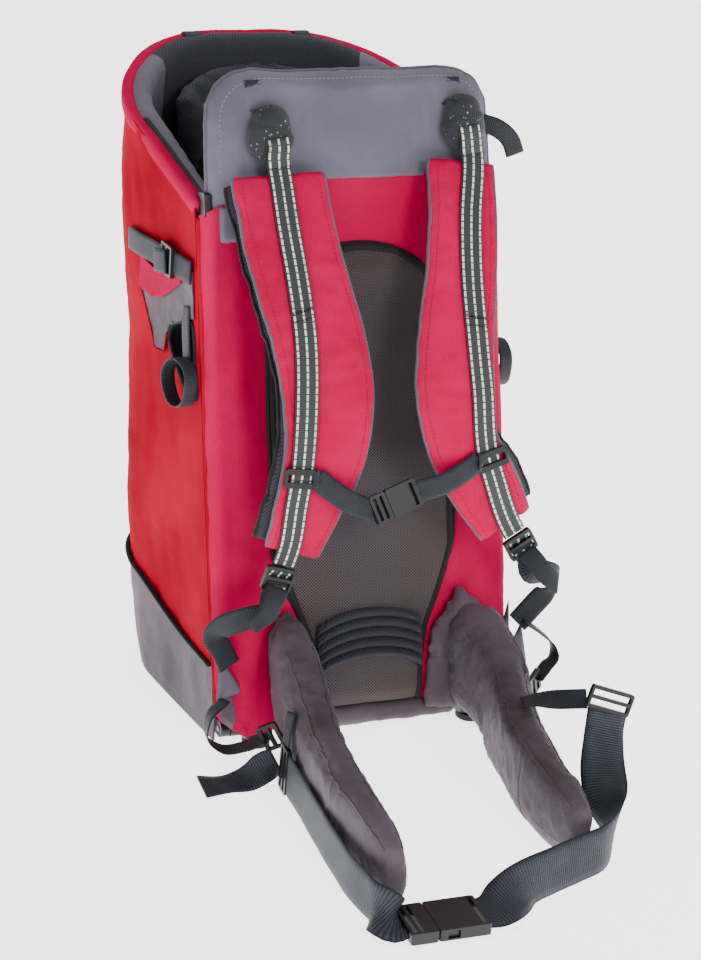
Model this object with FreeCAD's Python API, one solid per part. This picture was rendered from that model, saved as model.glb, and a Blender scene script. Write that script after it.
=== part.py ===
"""Framed child carrier backpack, standing on its fold-out stand.

Units are millimetres.  The pack frame has X across the back, Y from the wearer's side into
the pack and Z up along the back panel; `lean` turns a pack-frame shape to the standing pose.
The standing frame has Z up from the floor.  Parts on or near the floor are drawn in it.
"""
import FreeCAD, Part
import math
import os

os.makedirs("parts", exist_ok=True)
Vector = FreeCAD.Vector

# ---- driving dimensions ----
LEAN = 16.0             # the pack leans back on its stand by this angle
FRONT_EDGE = -110.0     # where the front plane of the pack meets the floor
FRONT_HALF = 167.0      # half width of the front panel
BODY_HALF = 185.0       # half width of the child compartment
SHELL = 3.0             # fabric with its foam and lining
GAP = 0.4               # clearance between neighbours

TUBE_R = 8.0            # main frame tube
TUBE_WALL = 1.5
TUBE_DEPTH = 12.0       # tube centre behind the front plane
LEG_TOP_HALF = 140.0
LEG_FOOT_HALF = 124.0
FRAME_TOP = 668.0
LEG_BOTTOM = 36.0

STAND_R = 6.0
STAND_HALF = 158.0
STAND_REAR = 140.0      # standing-frame Y of the stand's cross bar
STAND_PIVOT = Vector(0, -88.0, 18.0)

SEAM = 252.0            # height of the floor between child compartment and luggage bag
RIM_FRONT = (24.0, 570.0)   # depth and height where the rim starts beside the head panel
RIM_SLOPE = 0.62        # rise of the rim per unit of depth
HEAD_BOTTOM = 545.0
HEAD_TOP = 702.0
HEAD_HALF = 160.0
YOKE_TOP = 590.0        # top of the red front between the straps
YOKE_SIDE = 554.0       # and at its outer edges
MESH_TOP = 519.0

WEB = 25.0              # harness webbing width
WEB_T = 1.8
BELT_WEB = 46.0         # hip belt webbing width
PAD_T = 15.0            # shoulder pad thickness
FACE_T = 5.0            # red cover of a shoulder strap

SIDE_TURN = 180.0       # depth where the flat sides end and the rear corners begin


# ---- frames ----
def lean(shape):
    """Pack frame to standing frame."""
    placed = shape.copy()
    turn = FreeCAD.Rotation(Vector(1, 0, 0), -LEAN)
    placed.Placement = FreeCAD.Placement(Vector(0, FRONT_EDGE, 0), turn).multiply(placed.Placement)
    return placed


def lean_point(point):
    turn = FreeCAD.Rotation(Vector(1, 0, 0), -LEAN)
    return turn.multVec(point) + Vector(0, FRONT_EDGE, 0)


# ---- solid helpers ----
def triangle(a, b, c):
    return Part.Face(Part.makePolygon([a, b, c, a]))


def skin(rings):
    """Closed solid through rings of points, with flat ends and triangles between the rings."""
    faces = []
    count = len(rings[0])
    for ring, following in zip(rings, rings[1:]):
        for i in range(count):
            j = (i + 1) % count
            faces.append(triangle(ring[i], ring[j], following[j]))
            faces.append(triangle(ring[i], following[j], following[i]))
    for ring in (rings[0], rings[-1]):
        faces.append(Part.Face(Part.makePolygon(ring + [ring[0]])))
    shell = Part.Shell(faces)
    shell.sewShape()
    solid = Part.Solid(shell)
    if solid.Volume < 0:
        solid.reverse()
    return solid


def spread(value, count):
    """The same value at every station, or the list as it is."""
    return list(value) if isinstance(value, (list, tuple)) else [value] * count


def station_frames(points, across):
    """Width and thickness directions of a band at each of its points."""
    count = len(points)
    frames = []
    for i, way in enumerate(spread(across, count)):
        tangent = points[min(i + 1, count - 1)] - points[max(i - 1, 0)]
        tangent.normalize()
        side = way - tangent * way.dot(tangent)
        side.normalize()
        frames.append((side, side.cross(tangent)))
    return frames


def band_outline(width, thickness, corner):
    """Half section of a band: a rectangle, or one with chamfered corners."""
    a = width / 2
    b = thickness / 2
    c = min(corner, b * 0.9)
    if corner:
        return [(a, b - c), (a - c, b), (c - a, b), (-a, b - c),
                (-a, c - b), (c - a, -b), (a - c, -b), (a, c - b)]
    return [(a, b), (-a, b), (-a, -b), (a, -b)]


def strap(points, across, width, thickness, corner=0.0):
    """Flat strap or pad along the points; across is its width direction, corner a chamfer."""
    widths = spread(width, len(points))
    rings = []
    for centre, (side, normal), wide in zip(points, station_frames(points, across), widths):
        outline = band_outline(wide, thickness, corner)
        rings.append([centre + side * s + normal * n for s, n in outline])
    return skin(rings)


def bent_path(points, radii):
    """Straight runs joined by tangent arcs of the given radii."""
    edges = []
    start = points[0]
    for corner, radius, following in zip(points[1:], radii, points[2:]):
        back = (start - corner).normalize()
        ahead = (following - corner).normalize()
        half = math.acos(max(-1.0, min(1.0, back.dot(ahead)))) / 2
        reach = radius / math.tan(half)
        entry = corner + back * reach
        leave = corner + ahead * reach
        bisector = (back + ahead).normalize()
        middle = corner + bisector * (radius / math.sin(half) - radius)
        edges.append(Part.LineSegment(start, entry).toShape())
        edges.append(Part.Arc(entry, middle, leave).toShape())
        start = leave
    edges.append(Part.LineSegment(start, points[-1]).toShape())
    return Part.Wire(edges)


def tube(points, radii, radius, wall=0.0):
    path = bent_path(points, radii)
    tangent = (points[1] - points[0]).normalize()

    def sweep(r):
        profile = Part.Wire(Part.makeCircle(r, points[0], tangent))
        return path.makePipeShell([profile], True, False)

    outer = sweep(radius)
    return outer.cut(sweep(radius - wall)) if wall else outer


def box(low, high):
    return Part.makeBox(high[0] - low[0], high[1] - low[1], high[2] - low[2], Vector(*low))


def round_edges(shape, radius, direction):
    """Fillet the straight edges that run along one direction."""
    edges = []
    for edge in shape.Edges:
        if edge.Curve.TypeId == "Part::GeomLine":
            if abs(edge.tangentAt(edge.FirstParameter).dot(direction)) > 0.99:
                edges.append(edge)
    return shape.makeFillet(radius, edges)


def plate(outline, y_low, y_high):
    """Straight-sided or arched outline in the X-Z plane, thickened along Y."""
    edges = []
    for first, second in zip(outline, outline[1:] + outline[:1]):
        a = Vector(first[0], y_low, first[1])
        b = Vector(second[0], y_low, second[1])
        edges.append(Part.LineSegment(a, b).toShape())
    return Part.Face(Part.Wire(edges)).extrude(Vector(0, y_high - y_low, 0))


def arch(half_bottom, bottom, half_top, top, radius, y_low, y_high):
    """Panel with straight flanks and rounded top corners."""
    outline = [(-half_bottom, bottom), (half_bottom, bottom), (half_top, top), (-half_top, top)]
    panel = plate(outline, y_low, y_high)
    corners = []
    for edge in panel.Edges:
        ends = [vertex.Point for vertex in edge.Vertexes]
        if all(abs(end.z - top) < 0.01 for end in ends) and abs(ends[0].x - ends[1].x) < 0.01:
            corners.append(edge)
    return panel.makeFillet(radius, corners)


# ---- frame: tubes, brackets, feet ----
def main_frame_path():
    return [Vector(-LEG_FOOT_HALF, TUBE_DEPTH, LEG_BOTTOM), Vector(-LEG_TOP_HALF, TUBE_DEPTH, FRAME_TOP),
            Vector(LEG_TOP_HALF, TUBE_DEPTH, FRAME_TOP), Vector(LEG_FOOT_HALF, TUBE_DEPTH, LEG_BOTTOM)]


def main_frame_tube():
    return tube(main_frame_path(), [55.0, 55.0], TUBE_R, TUBE_WALL)


def main_frame_space(clearance=GAP):
    """Solid room that soft parts leave for the main tube."""
    return tube(main_frame_path(), [55.0, 55.0], TUBE_R + clearance)


def leg_half(height):
    """Half distance between the two legs at a height."""
    share = (height - LEG_BOTTOM) / (FRAME_TOP - LEG_BOTTOM)
    return LEG_FOOT_HALF + (LEG_TOP_HALF - LEG_FOOT_HALF) * share


def cross_bar(height):
    half = leg_half(height)
    bar = Part.makeCylinder(6.0, 2 * half, Vector(-half, TUBE_DEPTH, height), Vector(1, 0, 0))
    hollow = Part.makeCylinder(4.8, 2 * half, Vector(-half, TUBE_DEPTH, height), Vector(1, 0, 0))
    return bar.cut(hollow).cut(main_frame_space(0.05))


def back_board():
    board = arch(104.0, 60.0, 104.0, 500.0, 30.0, 21.0, 23.0)
    for row in range(4):
        for column in (-1, 0, 1):
            hole = Part.makeCylinder(13.0, 10.0, Vector(62.0 * column, 16.0, 130.0 + 95.0 * row), Vector(0, 1, 0))
            board = board.cut(hole)
    return board


def foot_fitting(side):
    """Moulded foot: takes the tube end from above and the stand pivot from the outer side."""
    x = side * (LEG_FOOT_HALF - 0.5)
    body = round_edges(box((x - 15, -3, 12), (x + 15, 25.5, 62)), 6.0, Vector(0, 0, 1))
    body = lean(body.cut(main_frame_space(0.1)))
    lug = Part.makeCylinder(9.5, STAND_HALF - 6.0 - abs(x), STAND_PIVOT + Vector(x, 0, 0), Vector(side, 0, 0))
    bore = Part.makeCylinder(3.0, 80.0, STAND_PIVOT + Vector(x - 40, 0, 0), Vector(1, 0, 0))
    floor_cut = box((x - 60, -200, -40), (x + 60, 0, 8))
    return body.fuse(lug).cut(bore).cut(floor_cut)


def foot_pad(side):
    """Rubber knob under the foot fitting, standing on the floor."""
    x = side * (LEG_FOOT_HALF - 0.5)
    y = FRONT_EDGE + 14.0
    knob = Part.makeCylinder(15.0, 8.0, Vector(x, y, 0))
    knob = knob.makeFillet(3.0, [edge for edge in knob.Edges if abs(edge.BoundBox.ZMax) < 0.01])
    return knob


def pivot_pin(side):
    inner = LEG_FOOT_HALF - 16.0
    pin = Part.makeCylinder(2.95, 56.0, STAND_PIVOT + Vector(inner, 0, 0), Vector(1, 0, 0))
    head = Part.makeCylinder(5.0, 2.5, STAND_PIVOT + Vector(inner - 2.5, 0, 0), Vector(1, 0, 0))
    rivet = pin.fuse(head)
    return rivet if side > 0 else rivet.mirror(Vector(0, 0, 0), Vector(1, 0, 0))


def stand_frame():
    """Fold-out U bar; its flattened ends turn on the pivot pins outside the foot fittings."""
    height = STAND_R + 2.0
    front = STAND_PIVOT.y + 14.0
    bar = tube([Vector(-STAND_HALF, front, STAND_PIVOT.z - 3), Vector(-STAND_HALF, STAND_REAR, height),
                Vector(STAND_HALF, STAND_REAR, height), Vector(STAND_HALF, front, STAND_PIVOT.z - 3)],
               [50.0, 50.0], STAND_R, 1.2)
    for side in (-1, 1):
        x = side * STAND_HALF
        cheek = box((x - 5, STAND_PIVOT.y - 1, STAND_PIVOT.z - 9), (x + 5, front + 16, STAND_PIVOT.z + 8))
        eye = Part.makeCylinder(9.0, 10.0, Vector(x - 5, STAND_PIVOT.y, STAND_PIVOT.z), Vector(1, 0, 0))
        bore = Part.makeCylinder(3.05, 30.0, Vector(x - 15, STAND_PIVOT.y, STAND_PIVOT.z), Vector(1, 0, 0))
        bar = bar.fuse(cheek).fuse(eye).cut(bore)
    return bar


def stand_foot(side):
    """Rubber sleeve clipped on the rear bar; the pack stands on it."""
    centre = Vector(side * 85.0 - 18.0, STAND_REAR, STAND_R + 2.0)
    sleeve = Part.makeCylinder(STAND_R + 2.0, 36.0, centre, Vector(1, 0, 0))
    return sleeve.cut(Part.makeCylinder(STAND_R, 36.0, centre, Vector(1, 0, 0)))


def rim_height(depth):
    return RIM_FRONT[1] + RIM_SLOPE * (depth - RIM_FRONT[0])


def hoop_point(u, w):
    """A point of the rim rod's middle line, just below the rim."""
    return Vector(u, w, rim_height(w) - 9.0)


def rim_hoop():
    """Bent rod in the rim of the child compartment, one flat loop on the rim's slope."""
    points = [hoop_point(u, w) for u, w in
              ((-157, 34), (-166, 205), (-96, 284), (0, 294), (96, 284), (166, 205), (157, 34))]
    return tube(points, [70.0, 60.0, 150.0, 60.0, 70.0], 4.0)


def hoop_bracket(side):
    """Moulded clamp that ties the rim rod to the main tube."""
    height = rim_height(34.0) - 9.0
    inner = side * leg_half(height)
    outer = side * 163.0
    block = box((min(inner, outer), 4.0, height - 16), (max(inner, outer), 42, height + 10))
    block = round_edges(block, 4.0, Vector(1, 0, 0))
    start = hoop_point(side * 157, 34)
    run = (hoop_point(side * 166, 205) - start).normalize()
    room = Part.makeCylinder(4.05, 60.0, start, run)
    return block.cut(main_frame_space(0.05)).cut(room)


# ---- soft body ----
def body_ring(height, rear, corner, inset=0.0):
    """Outline of the pack body at one height: flat front, slightly flared sides, round rear."""
    front = 26.0 + inset
    half_front = FRONT_HALF + 1.0 - inset
    half = BODY_HALF - inset
    back = rear - inset
    r = corner - inset
    turn = back - r
    points = [(-half_front, front), (half_front, front), (half, turn)]
    arc_steps = 6
    for step in range(1, arc_steps):
        angle = math.radians(90.0 * step / arc_steps)
        points.append((half - r + r * math.cos(angle), turn + r * math.sin(angle)))
    points += [(half - r, back), (r - half, back)]
    for step in range(1, arc_steps):
        angle = math.radians(90.0 + 90.0 * step / arc_steps)
        points.append((r - half + r * math.cos(angle), turn + r * math.sin(angle)))
    points.append((-half, turn))
    return [Vector(x, y, height) for x, y in points]


# height, depth of the rear wall, radius of the rear corners
BODY_STATIONS = [(-20, 234, 80), (40, 262, 90), (85, 296, 100), (170, 314, 104), (SEAM, 314, 104),
                 (300, 304, 102), (350, 292, 100), (430, 290, 105), (520, 300, 112), (580, 304, 120),
                 (650, 302, 132), (710, 306, 142), (780, 322, 150)]


def wall_at(height):
    """Rear depth and corner radius at a station's height."""
    for station, rear, corner in BODY_STATIONS:
        if station == height:
            return rear, corner


def body_loft(low, high, inset=0.0):
    """Solid body between two of the stations' heights."""
    rings = []
    for height, rear, corner in BODY_STATIONS:
        if low <= height <= high:
            rings.append(body_ring(height, rear, corner, inset))
    return skin(rings)


def above_rim(lift=0.0):
    """Everything above the sloping rim."""
    depth = 420.0
    outline = [(-30, rim_height(-30) + lift), (depth, rim_height(depth) + lift), (depth, 1100), (-30, 1100)]
    edges = []
    for first, second in zip(outline, outline[1:] + outline[:1]):
        edges.append(Part.LineSegment(Vector(-260, *first), Vector(-260, *second)).toShape())
    return Part.Face(Part.Wire(edges)).extrude(Vector(520, 0, 0))


def leg_hole():
    """Both leg openings as one bar across the pack."""
    outline = [(33, 364), (50, 368), (76, 398), (94, 424), (86, 440), (64, 446), (33, 446)]
    edges = []
    for first, second in zip(outline, outline[1:] + outline[:1]):
        edges.append(Part.LineSegment(Vector(-260, *first), Vector(-260, *second)).toShape())
    return Part.Face(Part.Wire(edges)).extrude(Vector(520, 0, 0))


FLOOR_TURN = 300        # station above the compartment floor


def child_compartment():
    outer = body_loft(SEAM, 780)
    room = body_loft(FLOOR_TURN, 780, SHELL)
    low_room = skin([body_ring(SEAM + SHELL, *wall_at(SEAM), SHELL),
                     body_ring(FLOOR_TURN, *wall_at(FLOOR_TURN), SHELL)])
    walls = outer.cut(room).cut(low_room)
    for side in (-1, 1):
        bracket = box((side * 150 - 14, 20, 545), (side * 150 + 14, 44, 600))
        walls = walls.cut(bracket)
    return lean(walls.cut(above_rim()).cut(leg_hole()))


def cut_to(shape, keep_low, keep_high):
    """The part of a standing-frame shape between two heights."""
    return shape.common(box((-400, -400, keep_low), (400, 500, keep_high)))


BASE_SEAM_Z = 96.0
BASE_LOW_Z = 3.0
BASE_FLOOR_Z = 30.0


def lower_bag():
    """Red walls of the luggage bag between the grey base and the child compartment."""
    outer = body_loft(-20, SEAM)
    inner = body_loft(-20, SEAM, SHELL)
    walls = lean(outer.cut(inner).cut(box((-300, 0, SEAM - GAP), (300, 500, 600))))
    return cut_to(walls, BASE_SEAM_Z + GAP, 400.0)


def bag_base():
    """Grey base: skirt down to the floor with the bag's floor panel above the stand bar."""
    outer = lean(body_loft(-20, SEAM))
    inner = lean(body_loft(-20, SEAM, SHELL))
    skirt = cut_to(outer.cut(inner), BASE_LOW_Z, BASE_SEAM_Z)
    floor = cut_to(outer, BASE_FLOOR_Z, BASE_FLOOR_Z + SHELL)
    base = skirt.fuse(floor).removeSplitter()
    for side in (-1, 1):
        middle = side * (LEG_FOOT_HALF + STAND_HALF) / 2
        base = base.cut(box((middle - 36, -130, -5), (middle + 26, -55, BASE_FLOOR_Z - 1)))
        base = base.cut(box((middle - 36, -130, -5), (middle + 36, -62, 64)))
    return base


def front_outline(grow=0.0):
    """Outline of the red front; its top is highest between the shoulder straps."""
    foot = FRONT_HALF - 4 + grow
    side = FRONT_HALF + grow
    yoke = 100.0 + grow
    return [(-foot, 34 - grow), (foot, 34 - grow), (side, YOKE_SIDE + grow), (yoke, YOKE_TOP + grow),
            (-yoke, YOKE_TOP + grow), (-side, YOKE_SIDE + grow)]


def front_panel():
    """Red front face with the yoke at the top and an opening for the back pad."""
    panel = plate(front_outline(), 0.0, SHELL)
    panel = panel.cut(back_pad_outline(2.0, -20.0, 20.0))
    for side in (-1, 1):
        x = side * (LEG_FOOT_HALF - 0.5)
        panel = panel.cut(box((x - 16, -20, 0), (x + 16, 20, 63)))
    return lean(panel)


def back_pad_outline(grow, y_low, y_high):
    half_low = 56.0 + grow
    half_waist = 66.0 + grow
    half_high = 100.0 + grow
    low = plate([(-half_low, 36 - grow), (half_low, 36 - grow), (half_waist, 110), (half_high, 200),
                 (-half_high, 200), (-half_waist, 110)], y_low, y_high)
    high = arch(half_high, 200.0, 88.0 + grow, MESH_TOP + grow, 70.0, y_low, y_high)
    return low.fuse(high).removeSplitter()


def back_mesh_pad():
    return lean(back_pad_outline(0.0, -8.0, 20.0).cut(lumbar_room(0.0)).cut(cross_bar_room()))


def cross_bar_room():
    rooms = []
    for height in (430.0, 150.0):
        rooms.append(Part.makeCylinder(6.4, 240.0, Vector(-120, TUBE_DEPTH, height), Vector(1, 0, 0)))
    return rooms[0].fuse(rooms[1])


def lumbar_room(clearance):
    """Crescent of the lumbar cushion on the lower end of the back pad."""
    outer = Part.makeCylinder(96.0 - clearance, 12.0, Vector(0, -20, 52), Vector(0, 1, 0))
    inner = Part.makeCylinder(34.0 + clearance, 12.0, Vector(0, -20, 52), Vector(0, 1, 0))
    band = outer.cut(inner).common(box((-62, -20, 66), (62, -8, 160)))
    return band


def lumbar_pad():
    """Five raised quilting ridges that arch over the small of the back."""
    ridges = []
    for row in range(5):
        radius = 40.0 + 12.0 * row
        ridge = Part.makeTorus(radius, 5.0, Vector(0, -10.5, 52), Vector(0, 1, 0))
        ridges.append(ridge)
    base = lumbar_room(0.2)
    pad = base.fuse(ridges).common(box((-60, -15.5, 67), (60, -8.1, 160)))
    return lean(pad)


def bottom_hem():
    """Grey roll under the back pad with the padded roots of both belt wings beside the pad."""
    roll = box((-104, -5, 12), (104, 20, 33))
    roll = round_edges(roll, 8.0, Vector(1, 0, 0))
    right = plate([(60, 26), (104, 14), (146, 34), (152, 117), (92, 156), (70, 110)], -8.0, -GAP)
    left = plate([(-60, 26), (-104, 14), (-110, 40), (-106, 120), (-88, 144), (-70, 110)], -8.0, -GAP)
    hem = roll.fuse(right).fuse(left)
    for side in (-1, 1):
        x = side * (LEG_FOOT_HALF - 0.5)
        hem = hem.cut(box((x - 15 - GAP, -3 - GAP, 0), (x + 15 + GAP, 30, 62 + GAP)))
    return lean(hem)


def head_panel():
    """Padded grey panel around the top of the main frame, behind the wearer's head."""
    panel = arch(HEAD_HALF + 3, HEAD_BOTTOM, HEAD_HALF, HEAD_TOP, 62.0, -3.0, 25.0)
    low_front = plate(front_outline(GAP), -10.0, SHELL + GAP)
    panel = panel.cut(main_frame_space()).cut(low_front)
    for side in (-1, 1):
        height = rim_height(34.0) - 9.0
        panel = panel.cut(box((side * 150 - 22, 3.4, height - 18), (side * 150 + 22, 60, height + 12)))
    return lean(panel)


def webbing_tab(side):
    """Black webbing sewn on the head panel that carries a strap's knot."""
    x = side * 106.0
    return lean(box((x - 13, -3 - WEB_T, 650), (x + 13, -3.05, 686)))


KNOT = {-1: Vector(-97, -17.0, 634.0), 1: Vector(116, -17.0, 642.0)}


def strap_knot(side):
    """The webbing tied in a fat knot above the strap."""
    centre = KNOT[side]
    rings = []
    for height, half, deep in ((-24, 12, 6), (-14, 21, 11), (0, 24, 12.5), (14, 20, 11), (24, 13, 6)):
        ring = []
        for step in range(10):
            angle = 2 * math.pi * step / 10
            ring.append(centre + Vector(half * math.cos(angle), deep * math.sin(angle), height))
        rings.append(ring)
    return lean(skin(rings))


def strap_anchor(side):
    """Grey flap behind the strap top that is sewn to the pack."""
    x = side * 128.0
    return lean(box((x - 22, -SHELL - GAP, 526), (x + 22, -GAP, 560)))


# ---- inside the child compartment ----
def child_seat():
    """Saddle seat: narrow between the leg openings, wide at the back."""
    rings = []
    for w, v, half, thick in ((32, 345, 42, 22), (60, 322, 44, 24), (100, 308, 62, 28),
                              (160, 306, 118, 30), (215, 316, 128, 28), (252, 340, 124, 22)):
        rings.append([Vector(-half, w, v - thick / 2), Vector(half, w, v - thick / 2),
                      Vector(half, w, v + thick / 2), Vector(-half, w, v + thick / 2)])
    return lean(skin(rings))


def child_back_pad():
    """Padded lining against the rear wall, behind the child."""
    points = [Vector(0, 258, 362), Vector(0, 262, 430), Vector(0, 280, 520), Vector(0, 282, 600)]
    return lean(strap(points, Vector(1, 0, 0), [150, 156, 160, 150], 16.0, 5.0))


def headrest_pad():
    """Black mesh cushion wrapped round the rear of the rim for the child's head."""
    rings = []
    for angle in range(-60, 61, 15):
        turn = math.radians(angle)
        out = Vector(math.sin(turn), math.cos(turn), 0)
        centre = Vector(0, 158, 0) + out * (112.0 + 14.0 * math.cos(turn))
        top = rim_height(centre.y) - 14.0
        low = top - 88.0
        rings.append([centre - out * 9 + Vector(0, 0, low), centre + out * 9 + Vector(0, 0, low),
                      centre + out * 9 + Vector(0, 0, top), centre - out * 9 + Vector(0, 0, top)])
    return lean(skin(rings))


def child_harness_strap(side):
    """Shoulder strap of the child's own harness, from the rear pad down to its buckle."""
    points = [Vector(side * 52, 271.5, 560), Vector(side * 52, 262, 515), Vector(side * 47, 244, 470),
              Vector(side * 38, 222, 430), Vector(side * 24, 204, 398)]
    return strap(points, Vector(1, 0, 0), 20.0, 2.0)


def child_harness_buckle():
    body = box((-38, 190, 368), (38, 200, 398))
    body = round_edges(body, 4.0, Vector(0, 1, 0))
    return lean(body)


def child_harness_webbing():
    """The child's two shoulder straps and the crotch strap."""
    crotch = [Vector(0, 195, 365), Vector(0, 190, 348), Vector(0, 184, 327)]
    bands = [child_harness_strap(-1), child_harness_strap(1), strap(crotch, Vector(1, 0, 0), WEB, 2.0)]
    return lean(Part.makeCompound(bands))


# ---- sides ----
def side_x(depth):
    """Half width of the pack body at a depth along its flat side."""
    share = (depth - 26.0) / (SIDE_TURN - 26.0)
    return FRONT_HALF + 1.0 + (BODY_HALF - FRONT_HALF - 1.0) * share


def on_side(side, depth, height, lift):
    """Pack-frame point a little outside the side wall."""
    return Vector(side * (side_x(depth) + lift + 0.4), depth, height)


def side_webbing(side):
    """Compression strap across the side, from the rear wall to its ladder lock."""
    rear = [on_side(side, 176, 530, 1.6), on_side(side, 130, 520, 1.6), on_side(side, 98, 513, 2.4)]
    front = [on_side(side, 59, 504, 2.4), on_side(side, 44, 500, 1.6), on_side(side, 30, 497, 1.6)]
    straps = [strap(points, Vector(0, 0, 1), WEB, WEB_T) for points in (rear, front)]
    return lean(Part.makeCompound(straps))


def ladder_lock(width=25.0, length=26.0, thick=5.0):
    """Webbing adjuster: a frame with two slots and three bars, lying in X (width) and Z."""
    half = width / 2 + 4.0
    frame = box((-half, -thick / 2, -length / 2), (half, thick / 2, length / 2))
    frame = round_edges(frame, 3.0, Vector(0, 1, 0))
    slot_half = width / 2 + 1.0
    for low, high in ((-length / 2 + 4, -1.8), (1.8, length / 2 - 4)):
        frame = frame.cut(box((-slot_half, -thick, low), (slot_half, thick, high)))
    return frame


def place(shape, origin, x_axis, y_axis):
    """Put a part drawn at the origin where its own X and Y point along the given directions."""
    x = Vector(x_axis).normalize()
    z = x.cross(Vector(y_axis)).normalize()
    y = z.cross(x)
    matrix = FreeCAD.Matrix(x.x, y.x, z.x, origin.x, x.y, y.y, z.y, origin.y,
                            x.z, y.z, z.z, origin.z, 0, 0, 0, 1)
    placed = shape.copy()
    placed.Placement = FreeCAD.Placement(matrix).multiply(placed.Placement)
    return placed


def side_lock(side):
    centre = on_side(side, 78.5, 508.5, 4.4)
    return lean(place(ladder_lock(25.0, 32.0), centre, Vector(0, -0.25, 1), Vector(side, 0, 0)))


STIRRUP = (46.0, 384.0)     # depth and height of the foot loop's middle


def stirrup_loop(side):
    """Foot loop of webbing that hangs in front of the leg opening."""
    centre = on_side(side, *STIRRUP, 11.6)
    points = []
    for step in range(15):
        angle = math.radians(100 + 340 * step / 14)
        points.append(centre + Vector(0, 28 * math.cos(angle), 25 * math.sin(angle)))
    return lean(strap(points, Vector(1, 0, 0), 16.0, 2.0))


def stirrup_tab(side):
    """Tab the foot loop hangs from, sewn to the wall above the leg opening."""
    depth, height = STIRRUP
    points = [on_side(side, depth, height + 78, 2.0), on_side(side, depth, height + 18, 2.0)]
    return lean(strap(points, Vector(0, 1, 0), 22.0, 2.0))


def rim_tab(side):
    """Webbing loop on the rim for a sun roof."""
    x = side * 66.0
    return lean(box((x - 6, 311, rim_height(300) - 30), (x + 6, 319, rim_height(300) + 2)))


# ---- shoulder harness ----
# across, depth, height and width of the padded strap; the straps lie a little differently
STRAP_LINE = {
    -1: [(-94, -24, 592, 98), (-92, -42, 540, 98), (-84, -61, 480, 97), (-74, -75, 425, 96),
         (-70, -83, 365, 94), (-76, -82, 310, 84), (-92, -74, 260, 70), (-106, -62, 216, 58)],
    1: [(109.5, -24, 600, 71), (102, -43, 545, 72), (89.5, -62, 485, 75), (76, -76, 425, 80),
        (70, -84, 365, 84), (80, -82, 310, 74), (108, -74, 264, 70), (134, -62, 224, 58)]}
# how far the webbing runs off the strap's middle at the same stations
WEB_OFFSET = {-1: [1, -1, -7, -17, -25, -24, -15, -6], 1: [12.5, 7, 10.5, 22, 29, 23, 10, 4]}
KNOT_REACH = 12.0       # webbing above the strap, up to its knot
LOCK_REACH = 14.0       # webbing below the strap, down to its ladder lock
LOCK_LENGTH = 26.0
LAYER_GAP = 1.3         # between the webbing and the strap's face
PAD_GAP = 2.4           # between the face and the pad behind it


def strap_stations(side):
    """Middle line of a strap with its frames, run on past both ends for the webbing."""
    middle = [Vector(u, w, v) for u, w, v, _ in STRAP_LINE[side]]
    upward = (middle[0] - middle[1]).normalize()
    downward = (middle[-1] - middle[-2]).normalize()
    middle = [middle[0] + upward * KNOT_REACH] + middle + [middle[-1] + downward * LOCK_REACH]
    return list(zip(middle, station_frames(middle, Vector(1, 0, 0))))


def strap_layer(stations, height, shift, width, thickness, corner=0.0):
    """One layer of the strap: height is off the middle line towards the wearer."""
    rings = []
    for (centre, (side, normal)), aside, wide in zip(stations, shift, width):
        outline = band_outline(wide, thickness, corner)
        origin = centre + side * aside - normal * height
        rings.append([origin + side * s + normal * n for s, n in outline])
    return skin(rings)


def strap_cover(side):
    """Red face of the shoulder strap."""
    widths = [station[3] for station in STRAP_LINE[side]]
    return lean(strap_layer(strap_stations(side)[1:-1], 0.0, [0.0] * len(widths), widths, FACE_T, 2.0))


def strap_pad(side):
    """Black mesh pad under the red face, a little wider on the outer side."""
    widths = [station[3] + 6 for station in STRAP_LINE[side]]
    shift = [side * 6.0] * 5 + [side * 9.0, side * 11.0, side * 10.0]
    depth = (FACE_T + PAD_T) / 2 + PAD_GAP
    return lean(strap_layer(strap_stations(side)[1:-1], -depth, shift, widths, PAD_T, 5.0))


def web_height():
    return (FACE_T + WEB_T) / 2 + LAYER_GAP


def web_shifts(side):
    offsets = WEB_OFFSET[side]
    return [offsets[0]] + offsets + [offsets[-1]]


def strap_webbing_points(side):
    """Middle line of the reflective webbing."""
    points = []
    for (centre, (across, normal)), aside in zip(strap_stations(side), web_shifts(side)):
        points.append(centre + across * aside - normal * web_height())
    return points


def strap_webbing():
    """Reflective webbing down the face of both straps, to their ladder locks."""
    bands = []
    for side in (-1, 1):
        stations = strap_stations(side)
        widths = [WEB] * len(stations)
        bands.append(strap_layer(stations, web_height(), web_shifts(side), widths, WEB_T))
    return lean(Part.makeCompound(bands))


def place_along(shape, centre, down):
    """Put a fitting drawn at the origin with its Z along the webbing and its Y to the wearer."""
    across = Vector(1, 0, 0) - down * down.x
    return place(shape, centre, across, down.cross(across))


def lower_lock_frame(side):
    """Centre and downward direction of the ladder lock at the strap's lower end."""
    points = strap_webbing_points(side)
    down = (points[-1] - points[-2]).normalize()
    return points[-1] + down * (LOCK_LENGTH / 2 + 3.0), down


def lower_lock(side):
    centre, down = lower_lock_frame(side)
    return lean(place_along(ladder_lock(WEB, LOCK_LENGTH), centre, down))


def slider_frame(side):
    """Centre of the sternum slider on the webbing and the webbing's direction there."""
    points = strap_webbing_points(side)
    a = points[6]
    b = points[7]
    return a + (b - a) * 0.42, (b - a).normalize()


def sternum_slider(side):
    """Tri-glide that rides on the strap webbing and carries the chest strap."""
    centre, down = slider_frame(side)
    half = WEB / 2 + 5.5
    slot = WEB / 2 + 3.0
    frame = box((-half, -0.7, -10), (half, 4.4, 10))
    frame = round_edges(frame, 2.5, Vector(0, 1, 0))
    frame = frame.cut(box((-slot, -2, -11), (slot, 1.6, 11)))
    frame = frame.cut(box((-slot, 0, -4), (slot, 6, 4)))
    return lean(place_along(frame, centre, down))


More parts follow.
